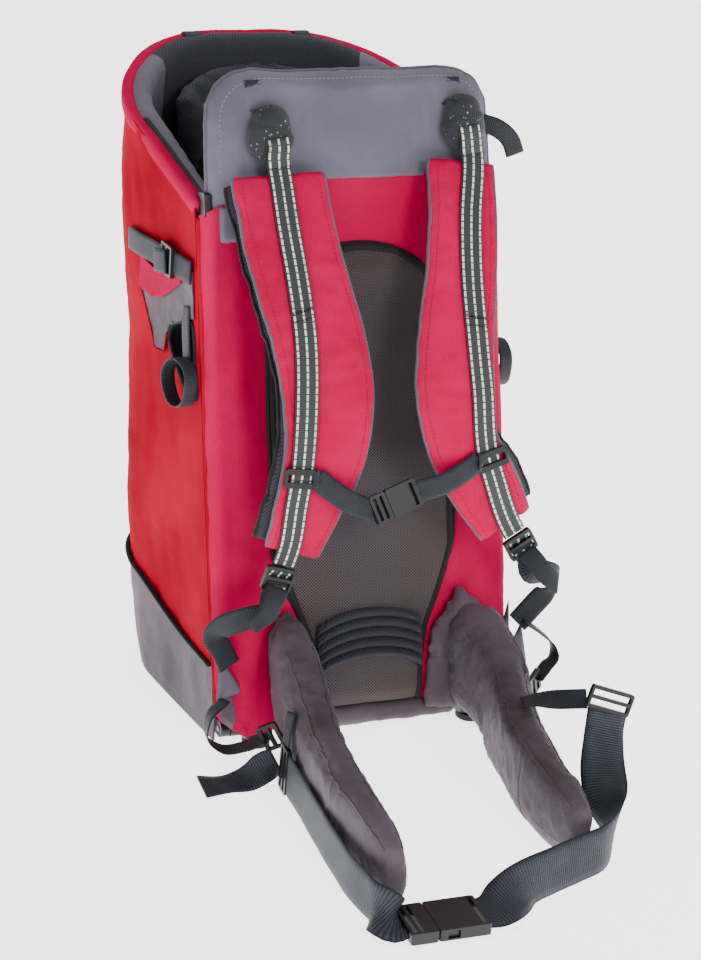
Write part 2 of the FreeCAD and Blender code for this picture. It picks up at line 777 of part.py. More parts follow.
BUCKLE_PLACE = Vector(-14.0, -98.0, 261.0)    # mouth of the chest buckle
BUCKLE_WAY = Vector(1, 0, 0.34).normalize()     # the buckle's long direction


def sternum_webbing_points(side):
    """From the slider's inner edge down to the chest buckle."""
    centre, _ = slider_frame(side)
    start = centre + Vector(-side * (WEB / 2 + 13.5), -2.5, -2)
    end = BUCKLE_PLACE + BUCKLE_WAY * (39.0 if side > 0 else -27.0)
    before = end + Vector(side * 12.0, 0, 1)
    middle = (start + before) * 0.5 + Vector(0, -2, -2)
    return [start, middle, before, end]


def sternum_webbing(side):
    return lean(strap(sternum_webbing_points(side), Vector(0, 0, 1), WEB - 2, WEB_T))


def buckle_female(width, length, thick, wall=2.0):
    """Socket half of a side-release buckle, mouth towards -X, webbing bar at +X."""
    body = round_edges(box((0, -width / 2, -thick / 2), (length, width / 2, thick / 2)), 3.0, Vector(0, 0, 1))
    room = box((-1, -width / 2 + wall, -thick / 2 + wall), (length - 12, width / 2 - wall, thick / 2 - wall))
    window = box((8, -width, -thick / 2 + wall), (20, width, thick / 2 - wall))
    slot = box((length - 8, -width / 2 + 3, -thick), (length - 4, width / 2 - 3, thick))
    return body.cut(room).cut(window).cut(slot)


def buckle_male(width, length, thick, wall=2.0):
    """Prong half: webbing end at -X, two side prongs and a middle guide along +X."""
    back = length * 0.54
    body = round_edges(box((-back, -width / 2, -thick / 2), (-0.6, width / 2, thick / 2)), 3.0, Vector(0, 0, 1))
    for near in (5.0, 12.0):
        body = body.cut(box((-back + near - 2, -width / 2 + 3, -thick), (-back + near + 1.5, width / 2 - 3, thick)))
    reach = length - 15.0
    prong_half = thick / 2 - wall - 0.4
    arms = []
    for side in (-1, 1):
        outer = side * (width / 2 - wall - 0.4)
        inner = side * (width / 2 - wall - 4.4)
        arms.append(box((-1, min(outer, inner), -prong_half), (reach * 0.7, max(outer, inner), prong_half)))
    guide = box((-1, -2.0, -prong_half), (reach, 2.0, prong_half))
    return body.fuse(arms + [guide])


def sternum_buckle(half):
    """Chest buckle, drawn along X with the socket on the right."""
    shape = buckle_female(30, 34, 9.0, 1.6) if half == "female" else buckle_male(30, 34, 9.0, 1.6)
    return lean(place(shape, BUCKLE_PLACE, BUCKLE_WAY, Vector(0, 0.15, 1)))


# ---- lower strap webbing, tabs ----
def lower_webbing_points(side):
    """From under the ladder lock, out in a loop and back to the tab low on the pack's side."""
    centre, down = lower_lock_frame(side)
    start = centre + down * (LOCK_LENGTH / 2 + 3.5)
    if side < 0:
        route = [(-130, -54, 154), (-150, -48, 150), (-172, -36, 138), (-178, -22, 122), (-166, -14, 106),
                 (-158, -11, 94)]
    else:
        route = [(166, -56, 170), (187, -48, 166), (206, -34, 152), (206, -20, 136), (188, -13, 120),
                 (172, -11, 106)]
    return [start, start + down * 7.0] + [Vector(*point) for point in route]


def lower_webbing(side):
    points = lower_webbing_points(side)
    turning = [(1, 0, 0), (0.95, 0.3, 0), (0.6, 0.8, 0), (0.1, 1, 0), (0, 1, 0), (0.1, 1, 0.1),
               (0.5, 0.7, 0.3), (0.8, 0.2, 0.55)]
    across = [Vector(u, w * -side, v * -side) for u, w, v in turning]
    return lean(strap(points, across, WEB, WEB_T))


def side_tab(side):
    """Grey triangular tab sewn into the lower side seam."""
    x = side * (152.0 if side < 0 else 166.0)
    outline = [(x + side * 14, 104), (x - side * 8, 66), (x + side * 18, 60)]
    return lean(plate(outline, -6.0, -4.0))


def stabiliser_points(side):
    """Side webbing from the tab down to the hip wing, standing frame."""
    if side < 0:
        route = [(-164, -104, 60), (-184, -112, 46), (-188, -122, 28), (-174, -130, 18), (-154, -140, 24),
                 (-140, -149, 34)]
    else:
        route = [(176, -99, 110), (192, -105, 100), (206, -112, 86), (204, -121, 76), (192, -130, 70),
                 (180, -139, 64)]
    return [Vector(*point) for point in route]


def stabiliser_webbing(side):
    points = stabiliser_points(side)
    return strap(points, Vector(0.15, 1, 0), 20.0, WEB_T)


def stabiliser_lock(side):
    route = stabiliser_points(side)
    last = route[-1]
    before = route[-2]
    ahead = (last - before).normalize()
    centre = last + ahead * 12.0
    normal = ahead.cross(Vector(0, 0, 1)).normalize()
    return place(ladder_lock(20.0, 22.0), centre, normal.cross(ahead), normal)


# ---- hip belt ----
# Y, X of the middle, bottom, top, thickness, sideways lean of the top
WING_LINE = {
    -1: [(-122.5, -92, 16, 142, 44, 0), (-138, -94, 12, 130, 42, 0), (-160, -97.5, 4, 118, 38, 0),
         (-205, -103, 1.0, 102, 38, -2),
         (-260, -110, 0.8, 96, 36, -4), (-320, -115, 0.8, 92, 36, -7), (-372, -115, 0.8, 88, 34, -10),
         (-410, -112, 2, 80, 32, -12), (-434, -109, 8, 66, 22, -10)],
    1: [(-122.5, 118, 16, 134, 72, 2), (-136, 123, 12, 128, 58, 3), (-160, 126, 4, 114, 44, 4),
        (-205, 114, 1.0, 102, 40, 4),
        (-255, 103, 0.8, 96, 38, 3), (-305, 95, 0.8, 92, 38, 2), (-350, 91, 0.8, 88, 36, 0),
        (-384, 93, 2, 80, 34, 0), (-408, 96, 8, 66, 24, 0)]}


def hip_wing(side):
    """Padded wing of the hip belt, standing on its lower edge."""
    rings = []
    for y, x, low, high, thick, slant in WING_LINE[side]:
        follow = math.tan(math.radians(LEAN)) if not rings else 0.0
        ring = []
        mid = (low + high) / 2
        half = (high - low) / 2
        for share_x, share_z in ((-0.28, -1), (0.28, -1), (0.5, -0.7), (0.5, 0.7), (0.28, 1), (-0.28, 1),
                                 (-0.5, 0.7), (-0.5, -0.7)):
            height = mid + half * share_z
            ring.append(Vector(x + slant * share_z / 2 + thick * share_x, y + follow * height, height))
        rings.append(ring)
    return skin(rings)


HIP_BUCKLE = Vector(-92.0, -469.0, 9.0)     # middle of the buckle's mouth
HIP_BUCKLE_W = 50.0
HIP_BUCKLE_T = 12.0


def hip_webbing_points(side):
    """Wide webbing of one side, from the wing to the buckle; each point has its width direction."""
    if side < 0:
        route = [((-134, -214, 27), (0, 0, 1)), ((-137, -262, 26), (0, 0, 1)), ((-142, -320, 26), (0, 0, 1)),
                 ((-145, -370, 26), (0, 0, 1)), ((-146, -405, 26), (0, 0, 1)), ((-144, -430, 26), (0, 0, 1)),
                 ((-141, -447, 25), (0, 0, 1)), ((-136, -459, 21), (0.35, 0.35, 0.87)),
                 ((-130, -465.5, 14), (0.35, 0.75, 0.5)), ((-122.5, -468, 9.2), (-0.04, 1, 0))]
    else:
        route = [((-36.8, -471, 9.6), (0.04, 1, 0)), ((-26, -470, 11.5), (0, 1, 0.2)), ((-10, -464, 18), (-0.2, 0.8, 0.6)),
                 ((12, -455, 25), (-0.1, 0.4, 0.9)), ((45, -443, 26), (0, 0.3, 1)), ((82, -431, 27), (0, 0.3, 1)),
                 ((114, -420, 28), (0, 0.2, 1)), ((136, -399, 30), (0.15, 0.1, 1)), ((147, -374, 35), (0.4, 0, 0.9)),
                 ((151, -350, 44), (0.75, 0, 0.6)), ((156, -330, 60), (0.9, 0, 0.25)),
                 ((163, -313, 79), (0.95, 0, -0.1)), ((168, -303, 93), (0.93, -0.05, -0.3)),
                 ((170.5, -300, 101), (0.93, -0.1, -0.33))]
    return [(Vector(*point), Vector(*side_way)) for point, side_way in route]


def hip_webbing(side):
    route = hip_webbing_points(side)
    band = strap([point for point, _ in route], [way for _, way in route], BELT_WEB, 2.0)
    return Part.makeCompound([band, hip_tail()]) if side < 0 else band


def hip_tail():
    """Loose end of the left belt webbing, spread on the floor beside the pack."""
    route = [((-134, -178, 26), (0, 0.1, 1)), ((-147, -178, 19), (0, 0.6, 0.8)), ((-160, -177, 10), (0, 1, 0.4)),
             ((-180, -174, 4.0), (0.1, 1, 0.0)), ((-210, -171, 2.0), (0.1, 1, 0))]
    points = [Vector(*point) for point, _ in route]
    return strap(points, [Vector(*way) for _, way in route], 34.0, 2.0)


def hip_adjuster(side):
    """Tri-glide between the wing and the wide webbing."""
    if side < 0:
        centre = Vector(-132.5, -198.5, 27)
        return place(ladder_lock(42.0, 24.0), centre, Vector(0, 0, 1), Vector(1, -0.1, 0))
    centre = Vector(174.5, -296, 116)
    return place(ladder_lock(42.0, 24.0), centre, Vector(0.93, -0.1, -0.33), Vector(-0.1, -0.97, 0.2))


def wing_link(side):
    """Webbing that ties the adjuster to the wing."""
    if side < 0:
        points = [Vector(-132.5, -196, 55), Vector(-130, -192, 66), Vector(-126, -186, 82)]
        return strap(points, Vector(0, 1, 0.2), 16.0, 1.6)
    points = [Vector(104, -248, 100), Vector(118, -252, 101.5), Vector(134, -266, 107), Vector(147, -283, 116)]
    turning = [Vector(0.3, 0.95, 0), Vector(0.3, 0.9, 0.3), Vector(0.1, 0.6, 0.75), Vector(0, 0.42, 0.9)]
    return strap(points, turning, 20.0, 1.6)


def hip_buckle(half):
    shape = (buckle_female(HIP_BUCKLE_W, 52, HIP_BUCKLE_T) if half == "female"
             else buckle_male(HIP_BUCKLE_W, 52, HIP_BUCKLE_T))
    return place(shape, HIP_BUCKLE, Vector(1, -0.04, 0.01), Vector(0.04, 1, 0))


# ---- assembly ----
def both(maker):
    """A left and a right piece that share a node."""
    return Part.makeCompound([maker(-1), maker(1)])


def build_nodes():
    nodes = {
        "main_frame_tube": lean(main_frame_tube()),
        "cross_bars": lean(Part.makeCompound([cross_bar(430.0), cross_bar(150.0)])),
        "back_board": lean(back_board()),
        "rim_hoop": lean(rim_hoop()),
        "hoop_brackets": lean(both(hoop_bracket)),
        "foot_fitting_left": foot_fitting(-1),
        "foot_fitting_right": foot_fitting(1),
        "foot_pads": both(foot_pad),
        "pivot_pins": both(pivot_pin),
        "stand_frame": stand_frame(),
        "stand_feet": both(stand_foot),
        "child_compartment": child_compartment(),
        "lower_bag": lower_bag(),
        "bag_base": bag_base(),
        "front_panel": front_panel(),
        "back_mesh_pad": back_mesh_pad(),
        "lumbar_pad": lumbar_pad(),
        "bottom_hem": bottom_hem(),
        "head_panel": head_panel(),
        "webbing_tabs": both(webbing_tab),
        "strap_anchors": both(strap_anchor),
        "child_seat": child_seat(),
        "child_back_pad": child_back_pad(),
        "headrest_pad": headrest_pad(),
        "child_harness_webbing": child_harness_webbing(),
        "child_harness_buckle": child_harness_buckle(),
        "side_webbing": both(side_webbing),
        "stirrup_tabs": both(stirrup_tab),
        "rim_tabs": both(rim_tab),
        "side_tabs": both(side_tab),
        "strap_webbing": strap_webbing(),
        "lower_webbing": both(lower_webbing),
        "sternum_buckle_female": sternum_buckle("female"),
        "sternum_buckle_male": sternum_buckle("male"),
        "stabiliser_webbing": both(stabiliser_webbing),
        "stabiliser_locks": both(stabiliser_lock),
        "hip_buckle_female": hip_buckle("female"),
        "hip_buckle_male": hip_buckle("male"),
        "hip_adjusters": both(hip_adjuster),
        "wing_links": both(wing_link),
    }
    paired = {
        "strap_knot": strap_knot, "side_lock": side_lock, "stirrup_loop": stirrup_loop,
        "shoulder_strap": strap_cover, "shoulder_pad": strap_pad, "lower_lock": lower_lock,
        "sternum_slider": sternum_slider, "sternum_webbing": sternum_webbing,
        "hip_wing": hip_wing, "hip_webbing": hip_webbing,
    }
    for name, maker in paired.items():
        nodes[name + "_left"] = maker(-1)
        nodes[name + "_right"] = maker(1)
    return nodes


def to_origin(nodes):
    """Move everything so that the bottom centre of the whole box is the origin; return the move."""
    whole = FreeCAD.BoundBox()
    for shape in nodes.values():
        whole.add(shape.optimalBoundingBox(False))
    move = Vector(-whole.Center.x, -whole.Center.y, -whole.ZMin)
    for shape in nodes.values():
        shape.translate(move)
    return move


def main():
    nodes = build_nodes()
    move = to_origin(nodes)
    print(len(nodes), "nodes")
    for name, shape in nodes.items():
        shape.exportStep("parts/" + name + ".step")
        print(name, round(shape.Volume), shape.isValid(), len(shape.Solids))
    print("move", move.x, move.y, move.z)


main()
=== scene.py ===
"""Looks of the child carrier backpack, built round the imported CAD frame."""
import math

import bmesh
import bpy
import numpy as np
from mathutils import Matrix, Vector, noise
from mathutils.bvhtree import BVHTree


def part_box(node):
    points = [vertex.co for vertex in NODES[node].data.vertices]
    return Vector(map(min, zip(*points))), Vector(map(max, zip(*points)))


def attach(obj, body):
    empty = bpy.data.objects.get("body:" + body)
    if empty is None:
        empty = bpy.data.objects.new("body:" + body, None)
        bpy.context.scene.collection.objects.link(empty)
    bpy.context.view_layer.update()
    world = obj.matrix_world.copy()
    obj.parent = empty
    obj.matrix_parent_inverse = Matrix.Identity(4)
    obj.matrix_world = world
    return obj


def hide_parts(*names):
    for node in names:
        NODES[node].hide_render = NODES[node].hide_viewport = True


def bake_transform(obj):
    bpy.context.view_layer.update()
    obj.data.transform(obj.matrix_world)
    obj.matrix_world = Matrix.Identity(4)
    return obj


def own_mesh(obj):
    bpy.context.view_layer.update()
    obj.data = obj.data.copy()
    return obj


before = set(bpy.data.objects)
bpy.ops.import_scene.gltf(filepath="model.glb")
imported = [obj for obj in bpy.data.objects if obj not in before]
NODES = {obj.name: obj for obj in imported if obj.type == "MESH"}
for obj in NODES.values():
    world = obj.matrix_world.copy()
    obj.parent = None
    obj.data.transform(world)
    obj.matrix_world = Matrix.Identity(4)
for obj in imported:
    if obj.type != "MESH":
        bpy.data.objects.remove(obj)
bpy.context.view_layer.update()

MM = 0.001

# ---- frames: pack millimetres and standing millimetres to row metres ----
LEAN = math.radians(16.0)
FRONT_EDGE = -110.0
STAND_REAR = 140.0
SIN, COS = math.sin(LEAN), math.cos(LEAN)


def middle(node):
    low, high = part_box(node)
    return (Vector(low) + Vector(high)) / 2


MOVE = Vector((middle("main_frame_tube").x, middle("stand_feet").y - STAND_REAR * MM, 0.0))


def standing(x, y, z):
    return Vector((x, y, z)) * MM + MOVE


def pack(u, w, v):
    return standing(u, w * COS + v * SIN + FRONT_EDGE, v * COS - w * SIN)


def pack_way(u, w, v):
    return Vector((u, w * COS + v * SIN, v * COS - w * SIN))


UP = pack_way(0, 0, 1)
OUT = pack_way(0, -1, 0)        # off the back panel, towards the wearer


# ---- curves through stations ----
def resample(rows, count, ends=None):
    """Smooth rows of numbers along the distance between their first three, at even steps."""
    rows = np.array(rows, float)
    gaps = np.linalg.norm(np.diff(rows[:, :3], axis=0), axis=1)
    along = np.concatenate([[0.0], np.cumsum(gaps)])
    slope = np.gradient(rows, along, axis=0)
    at = np.linspace(0.0, along[-1], count)
    k = np.clip(np.searchsorted(along, at, side="right") - 1, 0, len(along) - 2)
    span = (along[k + 1] - along[k])[:, None]
    s = (at - along[k])[:, None] / span
    a, b = rows[k], rows[k + 1]
    ma, mb = slope[k] * span, slope[k + 1] * span
    return ((2 * s**3 - 3 * s**2 + 1) * a + (s**3 - 2 * s**2 + s) * ma
            + (3 * s**2 - 2 * s**3) * b + (s**3 - s**2) * mb)


def unit(v):
    return v / np.maximum(np.linalg.norm(v, axis=-1, keepdims=True), 1e-12)


def tangents(points):
    return unit(np.gradient(points, axis=0))


def lengths(points):
    return np.concatenate([[0.0], np.cumsum(np.linalg.norm(np.diff(points, axis=0), axis=1))])


# ---- meshes ----
def new_object(name, verts, faces, mat, uvs=None, smooth=True):
    mesh = bpy.data.meshes.new(name)
    mesh.from_pydata([tuple(v) for v in verts], [], faces)
    if uvs is not None:
        layer = mesh.uv_layers.new(name="pattern")
        flat = np.array([uvs[i] for face in faces for i in face], np.float32)
        layer.data.foreach_set("uv", flat.ravel())
    mesh.validate()
    mesh.polygons.foreach_set("use_smooth", [smooth] * len(mesh.polygons))
    obj = bpy.data.objects.new(name, mesh)
    bpy.context.scene.collection.objects.link(obj)
    if mat:
        mesh.materials.append(mat)
    return obj


def face_out(obj):
    """Makes the faces of a closed mesh look outwards."""
    shape = bmesh.new()
    shape.from_mesh(obj.data)
    bmesh.ops.recalc_face_normals(shape, faces=shape.faces)
    shape.to_mesh(obj.data)
    shape.free()
    return obj


def loft(name, rings, mat, uvs=None, cap=True):
    """Closed tube of rings; each ring is a closed loop of the same count."""
    rings = np.array(rings)
    n, m = rings.shape[:2]
    faces = [(i * m + j, i * m + (j + 1) % m, (i + 1) * m + (j + 1) % m, (i + 1) * m + j)
             for i in range(n - 1) for j in range(m)]
    if cap:
        faces.append(tuple(range(m))[::-1])
        faces.append(tuple((n - 1) * m + j for j in range(m)))
    flat = None if uvs is None else np.array(uvs).reshape(-1, 2)
    return face_out(new_object(name, rings.reshape(-1, 3), faces, mat, flat))


def grid(name, points, mat, around=False, uvs=None):
    """Open sheet of points[row][column]; around joins the last column to the first."""
    points = np.array(points)
    n, m = points.shape[:2]
    last = m if around else m - 1
    faces = [(i * m + j, i * m + (j + 1) % m, (i + 1) * m + (j + 1) % m, (i + 1) * m + j)
             for i in range(n - 1) for j in range(last)]
    flat = None if uvs is None else np.array(uvs).reshape(-1, 2)
    return new_object(name, points.reshape(-1, 3), faces, mat, flat)


def join(name, parts):
    """One object from several, with the first one's name."""
    bpy.ops.object.select_all(action="DESELECT")
    for part in parts:
        part.select_set(True)
    bpy.context.view_layer.objects.active = parts[0]
    bpy.ops.object.join()
    parts[0].name = name
    parts[0].data.name = name
    return parts[0]


def modifier(obj, kind, **values):
    made = obj.modifiers.new(kind.lower(), kind)
    for key, value in values.items():
        setattr(made, key, value)
    return made


def apply_all(obj):
    graph = bpy.context.evaluated_depsgraph_get()
    final = bpy.data.meshes.new_from_object(obj.evaluated_get(graph))
    obj.modifiers.clear()
    obj.data = final
    final.polygons.foreach_set("use_smooth", [True] * len(final.polygons))
    return obj


FOLD_ANGLE = math.radians(55)


def solid(obj, thick, inward=-1.0):
    """Gives a sheet its thickness; its cut edges stay sharp."""
    modifier(obj, "SOLIDIFY", thickness=thick, offset=inward)
    apply_all(obj)
    shape = bmesh.new()
    shape.from_mesh(obj.data)
    for edge in shape.edges:
        edge.smooth = edge.calc_face_angle(0.0) < FOLD_ANGLE
    shape.to_mesh(obj.data)
    shape.free()
    return obj


def rounder(obj, levels=1):
    modifier(obj, "SUBSURF", levels=levels, render_levels=levels)
    return apply_all(obj)


# ---- cloth wrinkles ----
def wrinkles(obj, size, depth, stretch=(1, 1, 1), seed=0, soft=0.5, where=None):
    """Moves the surface in and out: soft swells plus sharp creases, longer along the stretch."""
    mesh = obj.data
    count = len(mesh.vertices)
    co = np.empty(count * 3)
    normal = np.empty(count * 3)
    mesh.vertices.foreach_get("co", co)
    mesh.vertices.foreach_get("normal", normal)
    co, normal = co.reshape(-1, 3), normal.reshape(-1, 3)
    shift = Vector((seed * 7.31, seed * 3.17, seed * 5.71))
    amount = np.empty(count)
    for i in range(count):
        p = Vector(co[i])
        local = Vector((p.dot(AXES[0]) / stretch[0], p.dot(AXES[1]) / stretch[1],
                        p.dot(AXES[2]) / stretch[2])) / size + shift
        swell = noise.noise(local)
        crease = 1.0 - abs(noise.noise(local * 2.1 + Vector((3.3, 1.7, 9.1)))) * 2.6
        amount[i] = soft * swell + (1 - soft) * max(crease, -0.4) * 0.8
        if where is not None:
            amount[i] *= where(p)
    mesh.vertices.foreach_set("co", (co + normal * (amount * depth)[:, None]).ravel())
    mesh.update()
    return obj


AXES = (Vector((1, 0, 0)), pack_way(0, 1, 0), UP)


# ---- cloth simulation of padded pieces ----
SIM_FRAMES = 20


def puffed(obj, voxel=0.005, cap=0.006, pressure=4.0):
    """Remeshes a closed shape and blows it up like a stuffed cover, by at most cap."""
    modifier(obj, "REMESH", mode="VOXEL", voxel_size=voxel, use_smooth_shade=True)
    apply_all(obj)
    modifier(obj, "SMOOTH", factor=0.5, iterations=3)
    apply_all(obj)
    scene = bpy.context.scene
    before = np.empty(len(obj.data.vertices) * 3)
    obj.data.vertices.foreach_get("co", before)
    cloth = modifier(obj, "CLOTH").settings
    cloth.use_pressure = True
    cloth.uniform_pressure_force = pressure
    cloth.effector_weights.gravity = 0.0
    cloth.quality = 4
    cloth.tension_stiffness = 12
    cloth.compression_stiffness = 6
    cloth.bending_stiffness = 0.6
    for step in range(1, SIM_FRAMES + 1):
        scene.frame_set(step)
    graph = bpy.context.evaluated_depsgraph_get()
    final = bpy.data.meshes.new_from_object(obj.evaluated_get(graph))
    after = np.empty(len(final.vertices) * 3)
    final.vertices.foreach_get("co", after)
    bpy.data.meshes.remove(final)
    obj.modifiers.clear()
    scene.frame_set(1)
    way = (after - before).reshape(-1, 3)
    far = np.linalg.norm(way, axis=1, keepdims=True)
    way *= np.minimum(1.0, cap / np.maximum(far, 1e-9))
    obj.data.vertices.foreach_set("co", (before.reshape(-1, 3) + way).ravel())
    obj.data.update()
    return rounder(obj)


def copy_of(node, name, mat):
    mesh = NODES[node].data.copy()
    mesh.name = name
    mesh.materials.clear()
    mesh.materials.append(mat)
    obj = bpy.data.objects.new(name, mesh)
    bpy.context.scene.collection.objects.link(obj)
    shape = bmesh.new()
    shape.from_mesh(mesh)
    bmesh.ops.remove_doubles(shape, verts=shape.verts, dist=1e-6)
    shape.to_mesh(mesh)
    shape.free()
    return obj


# ---- surfaces to sew on ----
def surface_of(obj):
    graph = bpy.context.evaluated_depsgraph_get()
    return BVHTree.FromObject(obj, graph)


def on_surface(tree, points, lift):
    """The points moved to the nearest place on a surface, a little above it."""
    out = []
    for point in points:
        place, normal, _, _ = tree.find_nearest(Vector(point))
        out.append(place + normal * lift)
    return np.array(out)


def round_cord(name, points, radius, mat, sides=8, closed=False, flat=1.0, normal=None):
    """Piping or thread along points."""
    points = np.array(points, float)
    if closed:
        ahead = np.roll(points, -1, axis=0)
        behind = np.roll(points, 1, axis=0)
        way = unit(ahead - behind)
    else:
        way = tangents(points)
    guide = np.array(normal if normal is not None else (0.31, 0.27, 0.91), float)
    side = unit(np.cross(way, guide))
    other = np.cross(side, way)
    turn = np.linspace(0, 2 * np.pi, sides, endpoint=False)
    rings = (points[:, None] + side[:, None] * (np.cos(turn) * radius)[None, :, None]
             + other[:, None] * (np.sin(turn) * radius * flat)[None, :, None])
    if closed:
        rings = np.concatenate([rings, rings[:1]])
        return face_out(loft_closed(name, rings, mat))
    return loft(name, rings, mat)


def loft_closed(name, rings, mat):
    """A ring-shaped tube: the last ring is the first."""
    n, m = len(rings) - 1, rings.shape[1]
    faces = [(i * m + j, i * m + (j + 1) % m, ((i + 1) % n) * m + (j + 1) % m, ((i + 1) % n) * m + j)
             for i in range(n) for j in range(m)]
    return new_object(name, rings[:-1].reshape(-1, 3), faces, mat)


STITCH_RING = [(0.0, 0.25), (0.35, 1.0), (0.65, 1.0), (1.0, 0.25)]


def stitches(name, points, normals, mat, pitch=0.0042, size=0.0027, radius=0.0005):
    """A row of sewn stitches along points, as one mesh."""
    points = np.array(points, float)
    along = lengths(points)
    normals = np.broadcast_to(np.array(normals, float), points.shape)
    count = max(2, int(along[-1] / pitch))
    verts, faces = [], []
    for start in np.linspace(0.0, along[-1] - size, count):
        a = np.array([np.interp(start, along, points[:, k]) for k in range(3)])
        b = np.array([np.interp(start + size, along, points[:, k]) for k in range(3)])
        up = unit(np.array([np.interp(start, along, normals[:, k]) for k in range(3)]))
        side = unit(np.cross(b - a, up))
        base = len(verts)
        for share, swell in STITCH_RING:
            centre = a + (b - a) * share + up * radius * 0.5
            for c, s in ((1, 0), (0, 1), (-1, 0), (0, -0.6)):
                verts.append(centre + (side * c + up * s) * radius * swell)
        for ring in range(3):
            for j in range(4):
                k = (j + 1) % 4
                faces.append((base + ring * 4 + j, base + ring * 4 + k, base + ring * 4 + 4 + k, base + ring * 4 + 4 + j))
        faces.append((base + 3, base + 2, base + 1, base))
        faces.append((base + 12, base + 13, base + 14, base + 15))
    return new_object(name, verts, faces, mat)


def band_frames(rows, count):
    """Resampled band stations: centre, width direction, face normal, other values."""
    rows = resample(rows, count)
    centre, way = rows[:, :3], tangents(rows[:, :3])
    side = rows[:, 3:6]
    side = unit(side - way * np.sum(side * way, axis=1, keepdims=True))
    return centre, side, np.cross(side, way), rows[:, 6:]


EDGE_STEPS = 3


def webbing(name, route, width, thick, mat, count=None, wave=0.0, seed=0, ripple=0.0):
    """Woven band along (point, width direction) pairs in row metres; its pattern runs along it."""
    rows = [list(point) + list(way) + [w] for (point, way), w in
            zip(route, width if isinstance(width, (list, tuple)) else [width] * len(route))]
    length = lengths(np.array(rows)[:, :3])[-1]
    count = count or max(8, int(length / 0.004))
    centre, side, normal, extra = band_frames(rows, count)
    along = lengths(centre)
    if wave or ripple:
        for i in range(count):
            fade = min(1.0, i / 4, (count - 1 - i) / 4)
            centre[i] += normal[i] * fade * (wave * noise.noise(Vector((along[i] * 22, seed * 3.7, 0.3)))
                                             + ripple * math.sin(along[i] * 260.0))
    outline = []
    half_t = thick / 2
    for s in np.linspace(-1, 1, 7):
        outline.append((s * (1 - 0.0), 1.0))
    for s in np.linspace(1, -1, 7):
        outline.append((s, -1.0))
    rings, uvs = [], []
    for i in range(count):
        half = extra[i][0] / 2
        ring, uv = [], []
        for s, top in outline:
            edge = 0.45 if abs(s) > 0.99 else 1.0
            ring.append(centre[i] + side[i] * s * half + normal[i] * top * half_t * edge)
            uv.append((s * half, along[i]))
        rings.append(ring)
        uvs.append(uv)
    return loft(name, rings, mat, uvs)


# ---- materials ----
class Nodes:
    """Short hand for building a node material."""

    def __init__(self, name):
        self.mat = bpy.data.materials.new(name)
        self.mat.use_nodes = True
        self.tree = self.mat.node_tree
        self.shader = self.tree.nodes["Principled BSDF"]

    def add(self, kind, inputs=None, **values):
        node = self.tree.nodes.new("ShaderNode" + kind)
        for key, value in values.items():
            setattr(node, key, value)
        for key, value in (inputs or {}).items():
            if isinstance(value, bpy.types.NodeSocket):
                self.tree.links.new(value, node.inputs[key])
            else:
                node.inputs[key].default_value = value
        return node

    def math(self, operation, a, b=0.0):
        return self.add("Math", {0: a, 1: b}, operation=operation).outputs[0]

    def ramp(self, value, low, high, out_low=0.0, out_high=1.0):
        return self.add("MapRange", {"Value": value, "From Min": low, "From Max": high,
                                     "To Min": out_low, "To Max": out_high}).outputs["Result"]

    def mix(self, share, a, b):
        node = self.tree.nodes.new("ShaderNodeMix")
        node.data_type = "RGBA"
        for index, value in ((0, share), (6, a), (7, b)):
            if isinstance(value, bpy.types.NodeSocket):
                self.tree.links.new(value, node.inputs[index])
            else:
                node.inputs[index].default_value = value
        return node.outputs[2]

    def place(self, scale=(1, 1, 1), turn=(0, 0, 0)):
        where = self.add("TexCoord").outputs["Object"]
        return self.add("Mapping", {"Vector": where, "Scale": scale, "Rotation": turn}).outputs["Vector"]

    def noise(self, scale, detail=3.0, where=None, rough=0.5):
        inputs = {"Scale": scale, "Detail": detail, "Roughness": rough}
        inputs["Vector"] = where if where is not None else self.place()
        return self.add("TexNoise", inputs).outputs[0]

    def bump(self, height, strength, distance, after=None):
        inputs = {"Height": height, "Strength": strength, "Distance": distance}
        if after is not None:
            inputs["Normal"] = after
        return self.add("Bump", inputs).outputs["Normal"]

    def finish(self, color, rough, normal=None, **values):
        for key, value in (("Base Color", color), ("Roughness", rough), ("Normal", normal)):
            if value is None:
                continue
            if isinstance(value, bpy.types.NodeSocket):
                self.tree.links.new(value, self.shader.inputs[key])
            else:
                self.shader.inputs[key].default_value = value
        for key, value in values.items():
            self.shader.inputs[key.replace("_", " ")].default_value = value
        return self.mat


def rgb(r, g, b):
    """Linear colour from 0..255 display values."""
    def line(c):
        c /= 255.0
        return c / 12.92 if c <= 0.04045 else ((c + 0.055) / 1.055) ** 2.4
    return (line(r), line(g), line(b), 1.0)


def weave_height(n, pitch, turn):
    """Over-and-under threads in two directions."""
    where = n.place(turn=turn)
    parts = n.add("SeparateXYZ", {"Vector": where}).outputs
    turns = 2 * math.pi / pitch
    a = n.math("SINE", n.math("MULTIPLY", n.math("ADD", parts["X"], parts["Y"]), turns))
    b = n.math("SINE", n.math("MULTIPLY", parts["Z"], turns))
    return n.math("MULTIPLY", a, b)


